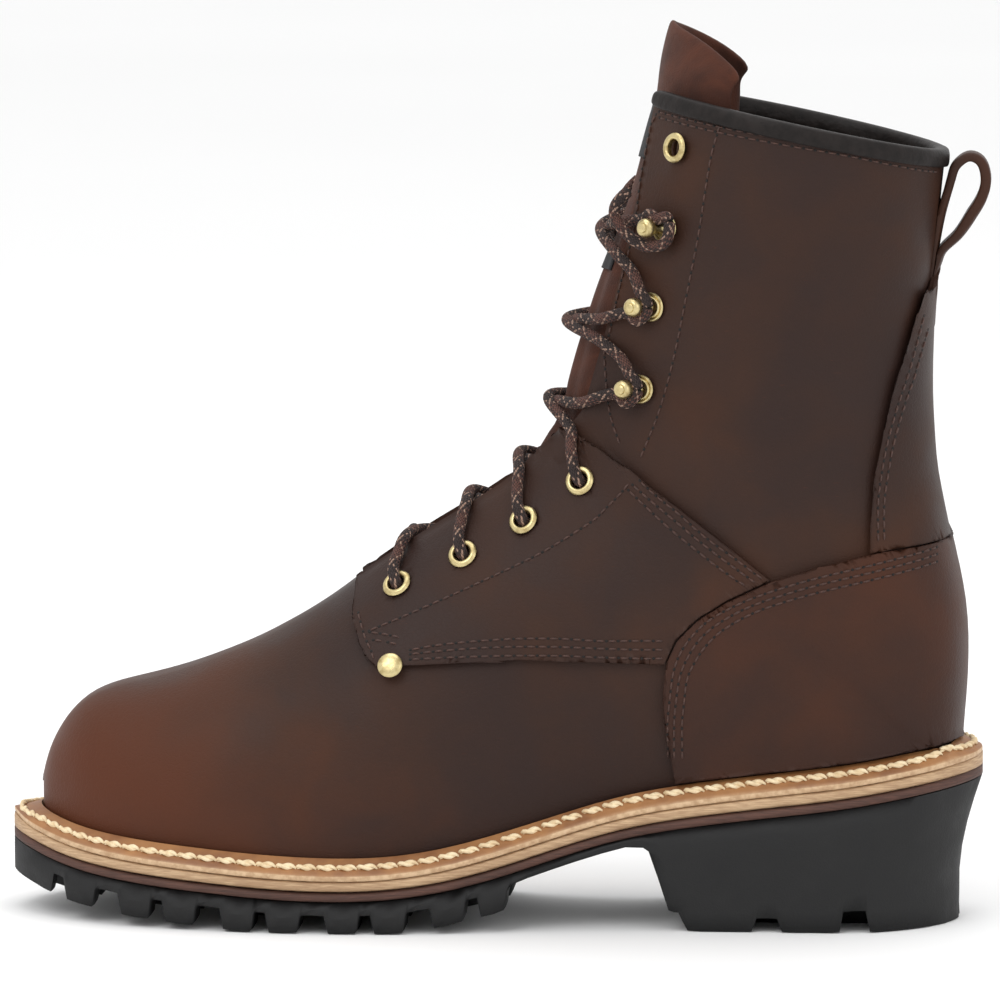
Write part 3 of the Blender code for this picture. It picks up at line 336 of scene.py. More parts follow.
CROSS_AT = (0.42, 0.44, 0.44, 0.4, 0.7, 0.84)    # how far up to the next station the laces cross
OVER_LIFT, UNDER_LIFT = (0.0012, 0.0022), (-0.0018, -0.0008)    # off the tongue: eyelets, hooks
FIRST_HOOK = 4               # the stations below this one are eyelets
lace_lines = []
for index, climb in enumerate(CROSS_AT):
    from_hook = index >= FIRST_HOOK
    top = index + 1 == len(CROSS_AT)
    for side, _ in SIDES:
        near, far = places(side), places(-side)
        start, end = (near[index], near[index + 1]), (far[index], far[index + 1])
        crown_lift = (OVER_LIFT if side > 0 else UNDER_LIFT)[from_hook]
        if from_hook:
            line = round_hook(*near[index], [(-1.1, 0.0, 3.9), (0.2, 2.6, 3.7), (2.6, 4.7, 3.2)])
            line.append(laid(start, end, 0.2, climb * 0.5, facings, 0.0004))
        else:
            at, out = near[index]
            line = [at - out * 0.006, at - out * 0.002, at + out * 0.0012,
                    laid(start, end, 0.12, 0.04, facings, 0.0006),
                    laid(start, end, 0.24, 0.16, facings, 0.0004)]
        line += [laid(start, end, 0.33, climb * 0.75, facings, 0.0006),
                 laid(start, end, 0.5, climb, tongue_only, crown_lift)]
        if index + 1 < FIRST_HOOK:
            at, out = far[index + 1]
            line += [laid(start, end, 0.64, climb * 0.6 + 0.4, tongue_only, 0.0002),
                     laid(start, end, 0.78, 0.96, tongue_only, -0.0004),
                     at - out * 0.0075, at - out * 0.006]
        else:
            turn_up = -1 if top else 1
            last = [(-2.6, 3.6, 3.7), (-4.4, 2.2, 3.9)] if top else [(-1.1, 0.0, 3.9)]
            line += [laid(start, end, 0.66, 0.98 if top else (climb + 0.88) / 2, facings, 0.0008),
                     laid(start, end, 0.8, 1.06 if top else 0.9, facings, 0.0004)]
            line += round_hook(*far[index + 1], [(4.2, -4.4 * turn_up, 3.0),
                                                 (0.9, -2.9 * turn_up, 3.6)] + last)
        lace_lines.append(through(line, LACE_STEP))
laces = braided("laces", lace_lines, lace_yarn)
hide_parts(*["lace_cross_%d" % (index + 1) for index in range(6)])
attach(laces, "root")
for side, label in SIDES:
    route = [(x * MM, side * y * MM, z * MM) for x, y, z in LACE_END]
    line = through(route, LACE_STEP)
    tip = braided("lace_tip_" + label, [line], lace_yarn)
    run = float(np.linalg.norm(np.diff(line, axis=0), axis=1).sum())
    path = [tuple(map(float, point)) for point in through(route, 0.0012)]
    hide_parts("lace_end_" + label)
    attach(tip, "root")

# Rubber sole
# One moulded unit of black rubber: heel block, arch and lugged forefoot. Its edges come out of the
# mould a little rounded, and its sides are matt with a faint pull of the release.


def pick(made):
    bpy.ops.object.select_all(action="DESELECT")
    bpy.context.view_layer.objects.active = made
    made.select_set(True)


def skin(name, node, levels, crease, sharp=35.0, material=None, foot=0.0):
    """A finer copy of a CAD node: merged, joined to quads, creased at its sharp edges, subdivided.

    foot is how far the faces that look down are let down."""
    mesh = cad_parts[node].data.copy()
    mesh.name = name
    mesh.materials.clear()
    made = put(name, mesh)
    pick(made)
    bpy.ops.object.mode_set(mode="EDIT")
    bpy.ops.mesh.select_all(action="SELECT")
    bpy.ops.mesh.remove_doubles(threshold=1e-5)
    bpy.ops.mesh.dissolve_degenerate(threshold=1e-6)
    bpy.ops.mesh.tris_convert_to_quads(face_threshold=math.radians(50),
                                       shape_threshold=math.radians(80))
    bpy.ops.object.mode_set(mode="OBJECT")
    shape = bmesh.new()
    shape.from_mesh(mesh)
    creases = shape.edges.layers.float
    layer = creases.get("crease_edge") or creases.new("crease_edge")
    for edge in shape.edges:
        edge.smooth = True
        if len(edge.link_faces) != 2 or edge.calc_face_angle(0.0) > math.radians(sharp):
            edge[layer] = crease
    shape.to_mesh(mesh)
    shape.free()
    finer = made.modifiers.new("finer", "SUBSURF")
    finer.levels = finer.render_levels = levels
    bpy.ops.object.modifier_apply(modifier="finer")
    mesh = made.data
    for vert in mesh.vertices:
        if foot and vert.normal.z < -0.25:
            vert.co.z -= foot
    mesh.shade_smooth()
    mesh.set_sharp_from_angle(angle=math.radians(50))
    if material:
        mesh.materials.append(material)
    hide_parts(node)
    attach(made, "root")
    return made


rubber = begin("rubber")
place = object_place()
scuff = spots(place, 90, 4, 0.6)
fine = spots(place, 1400, 2, 0.6)
rubber_colour = shade(ramp(scuff, 0.35, 0.75), (0.006, 0.006, 0.0064), (0.012, 0.012, 0.0122))
close(rubber_colour, 0.56 + ramp(scuff, 0.3, 0.7) * 0.16, fine * 0.6 + scuff * 0.4, 0.00016,
      Specular_IOR_Level=0.35)
skin("outsole_rubber", "outsole", 1, 0.85, 25, rubber)

# Leather layers under the welt
# A dark board runner on the rubber, then a tan midsole of vegetable tanned leather. Both are cut
# with the sole and sanded, so their edges show fine level lines.
LAYER_GAP = 0.00027          # each layer is pressed down onto the one below


def cut_edge(name, dark, light, roughness, lines):
    """Sanded edge of leather: fine level lines, pale fibres and a few darker streaks."""
    made = begin(name)
    place = object_place()
    stretched = Wire.add("VectorMath", {"operation": "MULTIPLY"}, {0: place, 1: (1.0, 1.0, 14.0)})
    fibre = spots(stretched, 160, 4, 0.65)
    broad = spots(place, 28, 2)
    tone = ramp(fibre * 0.7 + broad * 0.3, 0.36, 0.66)
    close(shade(tone, dark, light), roughness, fibre, lines)
    return made


runner_board = cut_edge("runner_board", (0.05, 0.02, 0.013), (0.1, 0.042, 0.028), 0.72, 0.0002)
midsole_hide = cut_edge("midsole_hide", (0.34, 0.205, 0.11), (0.56, 0.385, 0.225), 0.62, 0.00022)
skin("runner_layer", "runner", 2, 0.95, 35, runner_board, LAYER_GAP)
skin("midsole_layer", "midsole", 2, 0.95, 35, midsole_hide, LAYER_GAP)

# Insole
# A flat leather board that closes the bottom inside the boot. The upper is lasted round it, and
# it is mottled a little where the foot rests.
insole_hide = begin("insole_hide")
place = object_place()
close(shade(ramp(spots(place, 40, 4), 0.3, 0.7), (0.22, 0.125, 0.07), (0.34, 0.21, 0.125)), 0.8,
      spots(place, 900, 3), 0.0002)
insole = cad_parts["insole"].data
insole.materials.clear()
insole.materials.append(insole_hide)

# Welt
# A strip of orange-brown leather sewn round the foot. Its top slopes up to the upper, and its
# outer edge is trimmed pale with the midsole.
welt_hide = begin("welt_hide")
place = object_place()
grain = spots(place, 420, 3, 0.6)
worn = spots(place, 60, 3, 0.6)
facing_up = part(Wire.add("NewGeometry", out=1), 2)
top_face = ramp(facing_up, 0.35, 0.75)
top_colour = shade(ramp(worn, 0.3, 0.7), (0.19, 0.072, 0.022), (0.33, 0.15, 0.05))
edge_colour = shade(ramp(grain, 0.3, 0.7), (0.4, 0.245, 0.13), (0.59, 0.41, 0.245))
close(shade(top_face, edge_colour, top_colour), 0.5 + ramp(worn, 0.3, 0.7) * 0.12, grain, 0.00018)
skin("welt_strip", "welt", 2, 0.95, 35, welt_hide, LAYER_GAP)

# Upper
# The vamp and the shaft in one smooth surface of oiled pull-up leather, lasted over the foot. It is
# dark and cool in the flats, and the oil has drawn away to red-brown over the toe and low edges.
SPINE = ((0.235, -0.004, 0.045), (0.15, -0.004, 0.055), (0.055, 0.0, 0.078), (-0.018, 0.0, 0.078),
         (0.000, 0.0, 0.15), (0.004, 0.0, 0.27))


def from_spine(point):
    """The way outwards from the middle line of the foot and the leg."""
    best = None
    for a, b in zip(SPINE, SPINE[1:]):
        a, b = Vector(a), Vector(b)
        spot, share = intersect_point_line(point, a, b)
        spot = a.lerp(b, min(max(share, 0.0), 1.0))
        if best is None or (point - spot).length < best.length:
            best = point - spot
    return best


# soft folds: two ends of the line, how deep, how wide
FOLDS = (((0.062, 0.03, 0.168), (0.02, 0.04, 0.156), -0.001, 0.009),
         ((0.062, -0.03, 0.168), (0.02, -0.04, 0.156), -0.001, 0.009),
         ((0.03, 0.042, 0.172), (-0.02, 0.04, 0.16), 0.0007, 0.012),
         ((0.03, -0.042, 0.172), (-0.02, -0.04, 0.16), 0.0007, 0.012),
         ((-0.042, 0.012, 0.15), (-0.01, 0.036, 0.146), -0.0006, 0.01),
         ((-0.042, -0.012, 0.15), (-0.01, -0.036, 0.146), -0.0006, 0.01),
         ((0.18, 0.02, 0.075), (0.15, 0.045, 0.055), -0.0005, 0.01),
         ((0.18, -0.026, 0.075), (0.15, -0.05, 0.055), -0.0005, 0.01))


def folded(point):
    """How far the leather moves outwards at a point: the listed folds and a faint sway of the hide.
    """
    move = 0.0003 * noise.noise(point * 24) + 0.00012 * noise.noise(point * 70)
    for a, b, depth, width in FOLDS:
        a, b = Vector(a), Vector(b)
        spot, share = intersect_point_line(point, a, b)
        spot = a.lerp(b, min(max(share, 0.0), 1.0))
        away = (point - spot).length / width
        if away < 3:
            move += depth * math.exp(-away * away)
    return move


def crumple(made):
    for vert in made.data.vertices:
        vert.co += from_spine(vert.co).normalized() * folded(vert.co)


def leather(name, dark, mid, warm, lean, roughness=0.46):
    """Oiled pull-up leather. lean is how much of the warm colour shows in the flats."""
    made = begin(name)
    place = object_place()
    cloud = spots(place, 9, 2, 0.5, 0.3)
    mottle = spots(place, 42, 3, 0.5, 0.3)
    pores = spots(place, 1500, 2, 0.6)
    creases = Wire.add("TexVoronoi", {"feature": "DISTANCE_TO_EDGE"},
                       {"Vector": place, "Scale": 620.0})
    stretched = Wire.add("VectorMath", {"operation": "MULTIPLY"}, {0: place, 1: (1.0, 1.0, 5.0)})
    scratch = spots(stretched, 240, 3, 0.6)
    x, z = part(place, 0), part(place, 2)
    toe = ramp(x, 0.185, 0.25) * ramp(z, 0.115, 0.04)
    heel = ramp(x, -0.02, -0.055)
    low = ramp(z - x * 0.02, 0.06, 0.028)
    drawn = ramp(cloud * 0.7 + mottle * 0.16 + toe * 0.24 + heel * 0.05 + low * 0.1,
                 0.44 - lean, 0.86 - lean)
    colour = shade(ramp(cloud * 0.65 + mottle * 0.35, 0.34, 0.66), dark, mid)
    colour = shade(drawn, colour, warm)
    colour = shade(ramp(scratch, 0.66, 0.78) * 0.25, colour, warm)
    rough = roughness + ramp(mottle, 0.3, 0.7) * 0.1
    close(colour, rough, pores * 0.45 + ramp(creases, 0.0, 0.12) * 0.35 + scratch * 0.2, 0.00011,
          Specular_IOR_Level=0.18)
    return made


oiled = leather("oiled_leather", (0.025, 0.0125, 0.0098), (0.042, 0.017, 0.009),
                (0.082, 0.023, 0.009), 0.03)
foxing = leather("foxing_leather", (0.029, 0.0125, 0.0088), (0.046, 0.017, 0.0088),
                 (0.084, 0.023, 0.009), 0.06)

THROAT_LEVELS = (148, 166, 212, 243, 262)    # heights in mm
THROAT_TURNS = (0, 12, 12, 4, 0)             # how far the edge turns at each, in degrees
THROAT_EDGE, THROAT_END = 25, 68     # degrees round the leg where the turn is full, and where none
LEG_LEVEL, LEG_MIDDLE, LEG_SLOPE = 199, 38.3, -0.355    # the middle of the bend at a height, in mm


def span(value, low, high):
    """Like ramp, but for a number and straight between."""
    return min(max((value - low) / (high - low), 0.0), 1.0)


def open_throat(made):
    """Draws the edges of the throat back round the leg, which bares more of the tongue."""
    for vert in made.data.vertices:
        x, y, z = vert.co / MM
        middle = LEG_MIDDLE + LEG_SLOPE * (z - LEG_LEVEL)
        angle = math.degrees(math.atan2(abs(y), x - middle))
        share = span(angle, THROAT_END, THROAT_EDGE)
        if share and z > THROAT_LEVELS[0]:
            angle += share * float(np.interp(z, THROAT_LEVELS, THROAT_TURNS))
            angle, away = math.radians(angle), math.hypot(y, x - middle)
            vert.co.x = (middle + away * math.cos(angle)) * MM
            vert.co.y = math.copysign(away * math.sin(angle) * MM, y)


upper = skin("upper_leather", "upper", 2, 0.9, 50, oiled)
open_throat(upper)
crumple(upper)


class Ground:
    """The outer faces of the upper, with a smooth direction outwards everywhere."""

    def __init__(self, made):
        mesh = made.data
        self.points = [vert.co.copy() for vert in mesh.vertices]
        self.out = [vert.normal.copy() for vert in mesh.vertices]
        self.faces = [tuple(face.vertices) for face in mesh.polygons
                      if from_spine(face.center).dot(face.normal) > 0]
        self.tree = BVHTree.FromPolygons(self.points, self.faces)

    def under(self, point):
        """The nearest point of the surface, the way outwards there, and the height above it."""
        spot, flat, index, _ = self.tree.find_nearest(point)
        corners = self.faces[index]
        weights = poly_3d_calc([self.points[i] for i in corners], spot)
        out = sum((self.out[i] * w for i, w in zip(corners, weights)), Vector())
        out = out.normalized() if out.length > 0.5 else flat
        return spot, out, (point - spot).dot(out)


ground = Ground(upper)

# Lining
# A smooth dark brown lining. It is cemented on the inside of the wall and its top edge is turned
# in under the binding.
LINING_GAP = 0.00015
LINING_THICK = 0.0006
lining_cloth = begin("lining_cloth")
place = object_place()
lining_colour = shade(ramp(spots(place, 50, 4), 0.35, 0.65), (0.06, 0.034, 0.022),
                      (0.1, 0.06, 0.04))
close(lining_colour, 0.85, spots(place, 1100, 3), 0.00025)


def thickened(made, thick):
    """Gives a sheet its thickness, on the side that it faces."""
    pick(made)
    wall = made.modifiers.new("wall", "SOLIDIFY")
    wall.thickness = thick
    wall.offset = 1.0
    bpy.ops.object.modifier_apply(modifier="wall")


lining = put("lining", upper.data.copy())
lining.data.materials.clear()
lining.data.materials.append(lining_cloth)
shape = bmesh.new()
shape.from_mesh(lining.data)
outside = [face for face in shape.faces
           if from_spine(face.calc_center_median()).normalized().dot(face.normal) > -0.35]
bmesh.ops.delete(shape, geom=outside, context="FACES")
for vert in shape.verts:
    vert.co += vert.normal * LINING_GAP
shape.to_mesh(lining.data)
shape.free()
thickened(lining, LINING_THICK)
lining.data.shade_smooth()
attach(lining, "root")

# Counter, quarters and backstay
# Separate pieces of the same hide laid on the upper and sewn. Their edges are cut square, then
# rubbed round, and each lies evenly on the wall under it.
OVERLAY_GAP = 0.0003
EDGE_ROUND = 0.0007
EDGE_DROP = 0.55             # share of EDGE_ROUND that the edge of an overlay goes down
STAY_TOP_HALF = 0.0125       # half the width of the backstay at the foot of its point
STAY_POINT = 0.01           # how far its top comes to a point


def lay_on(made, thick):
    """Lays an overlay evenly on the upper and rubs its outer edge round."""
    shape = bmesh.new()
    shape.from_mesh(made.data)
    level = {}
    for vert in shape.verts:
        spot, out, height = ground.under(vert.co)
        share = (height - OVERLAY_GAP) / thick
        share = 1.0 if share > 0.8 else 0.0 if share < 0.2 else share
        vert.co = spot + out * (OVERLAY_GAP + share * thick)
        level[vert] = share
    top = [face for face in shape.faces if all(level[vert] == 1.0 for vert in face.verts)]
    picked = set(top)
    rim = {vert for face in top for vert in face.verts
           if any(other not in picked for other in vert.link_faces)}
    bmesh.ops.inset_region(shape, faces=top, thickness=EDGE_ROUND, use_even_offset=False)
    for vert in rim:
        _, out, _ = ground.under(vert.co)
        vert.co -= out * EDGE_ROUND * EDGE_DROP
    shape.normal_update()
    shape.to_mesh(made.data)
    shape.free()
    made.data.shade_smooth()
    made.data.set_sharp_from_angle(angle=math.radians(60))


def settle(made, onto, reach, drop):
    """Lowers the foot of a piece onto what lies under it, less and less up to reach."""
    for vert in made.data.vertices:
        hit = onto.ray_cast(vert.co, Vector((0, 0, -1)), reach)
        if hit[0]:
            vert.co.z -= drop * min((reach - hit[3]) / (reach - drop), 1.0)


for name, node, hide, thick in (("quarter_leather_outer", "quarter_outer", oiled, 0.002),
                                ("quarter_leather_inner", "quarter_inner", oiled, 0.002),
                                ("counter_leather", "counter", foxing, 0.0024),
                                ("backstay_leather", "backstay", oiled, 0.002)):
    made = skin(name, node, 2, 1.0, 45, hide)
    if node == "backstay":
        for vert in made.data.vertices:
            vert.co.z += (STAY_POINT * span(vert.co.z, 0.188, 0.202)
                          * max(1 - abs(vert.co.y) / STAY_TOP_HALF, 0.0))
    lay_on(made, thick)
settle(bpy.data.objects["counter_leather"], tree_of("welt_strip"), 0.008, 0.0012)

# Tongue
# A gusseted tongue of red-brown nubuck, softer than the shaft and sewn in at the throat. It stands
# above the collar, where it waves a little, and it sinks in between the facings.
tongue_hide = begin("tongue_hide")
place = object_place()
nap = spots(place, 38, 5, 0.65, 0.8)
fuzz = spots(place, 1800, 2, 0.7)
nap_colour = shade(ramp(nap, 0.3, 0.7), (0.034, 0.0095, 0.0045), (0.072, 0.02, 0.0085))
close(nap_colour, 0.88, fuzz * 0.6 + nap * 0.4, 0.0004, Sheen_Weight=0.06, Sheen_Roughness=0.5,
      Specular_IOR_Level=0.25)
tongue = skin("tongue_leather", "tongue", 2, 0.7, 50, tongue_hide)
TONGUE_FREE, TONGUE_TOP = 0.257, 0.289    # the tongue is free of the shaft between these heights
TONGUE_SINK = 0.0018
shape = bmesh.new()
shape.from_mesh(tongue.data)
free = [vert for vert in shape.verts if vert.co.z > TONGUE_FREE - 0.004]
for _ in range(10):
    bmesh.ops.smooth_vert(shape, verts=free, factor=0.5, use_axis_x=True, use_axis_y=True,
                          use_axis_z=True)
for vert in shape.verts:
    rise = span(vert.co.z, TONGUE_FREE, TONGUE_FREE + 0.012)
    top = span(vert.co.z, TONGUE_TOP - 0.027, TONGUE_TOP)
    vert.co.x += (vert.co.x - 0.05) * -0.12 * rise + 0.0035 * top
    back = span(vert.co.x, 0.045, 0.012)
    vert.co.z += 0.0012 * top + 0.0046 * math.sin(math.pi * back) * rise
    vert.co.x -= 0.003 * back * back * rise
    wave = noise.noise(vert.co * 45 + Vector((3, 1, 7)))
    vert.co.x += 0.0007 * wave * rise + 0.0004 * noise.noise(vert.co * 32)
    dip = span(abs(vert.co.y + 0.002), 0.0125, 0.0075) * span(vert.co.x, 0.056, 0.068)
    vert.co -= from_spine(vert.co).normalized() * TONGUE_SINK * dip
shape.to_mesh(tongue.data)
shape.free()

# Tongue labels
# Two plain woven patches, black and thin. They are sewn flat on the front of the tongue, one at
# the collar and one between the hooks.
label_cloth = begin("label_cloth")
place = object_place()
weave = spots(place, 2200, 2, 0.6)
close(shade(ramp(weave, 0.3, 0.7), (0.006, 0.006, 0.007), (0.018, 0.018, 0.02)), 0.8, weave, 0.0001)
LABEL_STEPS = 10
LABEL_THICK = 0.0007
LABEL_GAP = 0.0001
LABELS = (("label_upper", 0.2455, 0.262, 0.0115),    # lower and upper edge, and half the width
          ("label_lower", 0.2095, 0.2165, 0.0095))
tongue_front = tree_of("tongue_leather")
for name, low, high, half in LABELS:
    points, faces = [], []
    for i in range(LABEL_STEPS + 1):
        for k in range(LABEL_STEPS + 1):
            across = half * (2 * k / LABEL_STEPS - 1)
            height = low + (high - low) * i / LABEL_STEPS
            hit = tongue_front.ray_cast(Vector((0.12, across, height)), Vector((-1, 0, 0)), 0.12)
            points.append(hit[0] + hit[1] * LABEL_GAP)
    for i in range(LABEL_STEPS):
        for k in range(LABEL_STEPS):
            corner = i * (LABEL_STEPS + 1) + k
            faces.append((corner, corner + 1, corner + LABEL_STEPS + 2, corner + LABEL_STEPS + 1))
    label = link(name, points, faces, label_cloth)
    thickened(label, LABEL_THICK)
    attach(label, "root")

# Collar binding
# A dark padded strip of soft hide. It is folded over the rim and sewn through, which leaves small
# puckers along it.
binding_hide = begin("binding_hide")
place = object_place()
pucker = spots(place, 260, 3, 0.6)
close(shade(ramp(pucker, 0.3, 0.7), (0.007, 0.0052, 0.0046), (0.014, 0.0105, 0.0095)), 0.5,
      pucker, 0.0004, Specular_IOR_Level=0.18)
PUCKER_DEPTH = 0.00022
binding = skin("collar_binding", "binding", 2, 0.25, 60, binding_hide)
for vert in binding.data.vertices:
    vert.co += from_spine(vert.co).normalized() * PUCKER_DEPTH * noise.noise(vert.co * 170)

# Pull loop
# A strap of the same hide folded in two. Both ends are skived thin, laid on the back of the shaft
# and sewn under the pointed top of the backstay.
STRAP_WIDTH = 0.015
STRAP_STEP = 0.0009
STRAP_OFF_WALL = 0.236       # above this height the strap leaves the round back of the shaft
WALL_ROUND = 0.03
# in mm, free part: place along, height, thickness; legs: height, distance off the wall, thickness
STRAP_FREE = [(-42.9, 238.5, 2.9), (-44.6, 243.3, 3.0), (-48.7, 246.2, 3.0), (-52.6, 244.4, 3.2),
              (-54.1, 239.0, 3.4), (-52.9, 233.0, 3.4), (-49.9, 227.3, 3.3), (-46.0, 221.4, 2.9)]
STRAP_LEGS = (((203.0, 0.55, 0.6), (210.0, 0.65, 1.0), (217.0, 0.75, 1.3), (224.0, 1.0, 1.8),
               (231.0, 1.5, 2.6)),
              ((216.5, 2.9, 2.5), (212.5, 2.1, 1.5), (208.0, 1.5, 0.8), (204.0, 1.4, 0.6)))
# its section, in shares of the width and the thickness
STRAP_SECTION = ((-0.5, -0.3), (-0.47, -0.46), (-0.25, -0.5), (0.25, -0.5), (0.47, -0.46),
                 (0.5, -0.3), (0.5, 0.3), (0.47, 0.46), (0.25, 0.5), (-0.25, 0.5), (-0.47, 0.46),
                 (-0.5, 0.3))
shaft_back = tree_of("upper_leather")


def beside_wall(leg):
    points = []
    for height, away, thick in leg:
        start = Vector((-0.09, 0.0, height * MM))
        wall = shaft_back.ray_cast(start, Vector((1, 0, 0)), 0.09)[0].x / MM
        points.append((wall - away, height, thick))
    return points


strap_line = beside_wall(STRAP_LEGS[0]) + STRAP_FREE + beside_wall(STRAP_LEGS[1])
strap = through([(x * MM, thick * MM, z * MM) for x, z, thick in strap_line], STRAP_STEP)
strap_thick = strap[:, 1].copy()
strap[:, 1] = 0.0
strap_ahead = np.gradient(strap, axis=0)
strap_ahead /= np.linalg.norm(strap_ahead, axis=1)[:, None]
strap_points = []
for at, ahead_by, thick in zip(strap, strap_ahead, strap_thick):
    across = np.array((-ahead_by[2], 0.0, ahead_by[0]))
    hug = span(at[2], STRAP_OFF_WALL, STRAP_OFF_WALL - 0.008)
    for y, off in STRAP_SECTION:
        bend = hug * (y * STRAP_WIDTH) ** 2 / (2 * WALL_ROUND)
        strap_points.append(at + np.array((bend, y * STRAP_WIDTH, 0.0)) + across * off * thick)
pull_strap = link("pull_strap", strap_points, tube(len(strap), len(STRAP_SECTION)), oiled)
shape = bmesh.new()
shape.from_mesh(pull_strap.data)
bmesh.ops.recalc_face_normals(shape, faces=shape.faces)
shape.to_mesh(pull_strap.data)
shape.free()
pull_strap.data.set_sharp_from_angle(angle=math.radians(60))
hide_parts("pull_loop")
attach(pull_strap, "root")

# Brass hardware
# Eyelets with rolled rims, speed hooks of a ball on a leaning neck over a stepped base, and a
# domed rivet on each side. All are antique brass, a little dulled in scattered patches.
brass = begin("antique_brass")
place = object_place()
tarnish = spots(place, 380, 4, 0.6)
close(shade(ramp(tarnish, 0.42, 0.72), (0.6, 0.5, 0.26), (0.38, 0.29, 0.13)),
      0.26 + ramp(tarnish, 0.3, 0.7) * 0.16, tarnish, 0.00004, Metallic=1.0)


def turned(name, profile, steps=32, ring=False):
    """A round piece drawn up from a circle, through (radius, height) pairs in mm."""
    bpy.ops.object.select_all(action="DESELECT")
    radius, height = profile[0]
    bpy.ops.mesh.primitive_circle_add(vertices=steps, radius=radius * MM, location=(0, 0, 0))
    made = bpy.context.object
    made.name = name
    bpy.ops.object.mode_set(mode="EDIT")
    bpy.ops.mesh.select_all(action="SELECT")
    bpy.ops.transform.translate(value=(0, 0, height * MM))
    if not ring:
        bpy.ops.mesh.extrude_region_move()
        bpy.ops.transform.resize(value=(0.001, 0.001, 1))
        bpy.ops.mesh.select_all(action="DESELECT")
        bpy.ops.object.mode_set(mode="OBJECT")
        for vert in made.data.vertices:
            vert.select = vert.co.to_2d().length > radius * MM * 0.5
        bpy.ops.object.mode_set(mode="EDIT")
    for following, level in profile[1:]:
        bpy.ops.mesh.extrude_region_move()
        share = max(following, 0.001) / radius
        bpy.ops.transform.resize(value=(share, share, 1))
        bpy.ops.transform.translate(value=(0, 0, (level - height) * MM))
        radius, height = max(following, 0.001), level
    bpy.ops.mesh.select_all(action="SELECT")
    bpy.ops.mesh.remove_doubles(threshold=1e-5)
    bpy.ops.mesh.normals_make_consistent(inside=False)
    bpy.ops.object.mode_set(mode="OBJECT")
    made.data.materials.clear()
    made.data.materials.append(brass)
    bpy.ops.object.shade_smooth_by_angle(angle=math.radians(40))
    return made


def seated(model, name, node, at, out):
    """A copy of a modelled piece at its place, standing for its CAD node."""
    made = put(name, model.data.copy())
    made.data.transform(Matrix.Translation(at) @ out.to_track_quat("Z", "Y").to_matrix().to_4x4())
    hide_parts(node)
    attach(made, "root")
    return made


eyelet = turned("eyelet_model", [
    (2.65, -3.0), (2.65, 0.9), (2.75, 1.25), (3.05, 1.6), (3.5, 1.75), (4.1, 1.62), (4.6, 1.25),
    (4.85, 0.85), (4.8, 0.55), (3.2, 0.55), (3.1, 0.3), (3.1, -3.0), (2.65, -3.0)], 36, ring=True)
hook_base = turned("hook_base_model", [
    (4.6, 0.6), (4.65, 1.0), (4.45, 1.3), (4.1, 1.35), (3.85, 1.1), (3.6, 1.05), (3.45, 1.45),
    (3.1, 1.7), (2.6, 1.65), (2.2, 1.5), (0.0, 1.5)], 36)
hook_head = turned("hook_head_model", [
    (1.5, -2.6), (2.3, -2.3), (2.9, -1.3), (3.1, -0.2), (3.05, 0.7), (2.75, 1.6), (2.25, 2.15),
    (1.75, 2.35), (1.55, 2.3), (1.45, 2.6), (0.9, 2.85), (0.0, 2.9)], 28)
hook_neck = turned("hook_neck_model", [
    (2.1, 1.0), (1.5, 1.8), (1.1, 2.8), (1.2, 5.6), (0.0, 5.6)], 20)
rivet = turned("rivet_model", [
    (4.0, 0.5), (4.05, 0.8), (3.8, 1.15), (3.0, 1.55), (1.8, 1.8), (0.0, 1.9)], 32)
RIVET_AT = {1: ((133.9, 37.5, 84.9), (.105, .904, .414)),
            -1: ((134.0, -41.1, 82.9), (-.086, -.937, .339))}
HOOK_REACH, HOOK_LEAN = 6.2, 3.0    # middle of a ball off the leather and ahead of its base, in mm
for side, label in SIDES:
    for index, (at, out) in enumerate(EYELET_AT[side]):
        number = "%s_%d" % (label, index + 1)
        seated(eyelet, "eyelet_ring_" + number, "eyelet_" + number, Vector(at) * MM,
               Vector(out).normalized())
    for index, (at, out) in enumerate(places(side)[FIRST_HOOK:]):
        ahead = (Vector((1, 0, 0)) - out * out.x).normalized()
        head_at = at + out * HOOK_REACH * MM + ahead * HOOK_LEAN * MM
        lean = (head_at - at).normalized()
        made = seated(hook_base, "hook_%s_brass_%d" % (label, index + 1),
                      "hook_%s_%d" % (label, index + 1), at, out)
        shape = bmesh.new()
        shape.from_mesh(made.data)
        for model, where, way in ((hook_neck, at, lean), (hook_head, head_at, out)):
            extra = model.data.copy()
            lean_to = way.to_track_quat("Z", "Y").to_matrix().to_4x4()
            extra.transform(Matrix.Translation(where) @ lean_to)
            shape.from_mesh(extra)
            bpy.data.meshes.remove(extra)
        shape.to_mesh(made.data)
        shape.free()
    at, out = RIVET_AT[side]
    seated(rivet, "rivet_brass_" + label, "rivet_" + label,
           Vector(at) * MM, Vector(out).normalized())
for model in (eyelet, hook_base, hook_head, hook_neck, rivet):
    bpy.data.objects.remove(model, do_unlink=True)
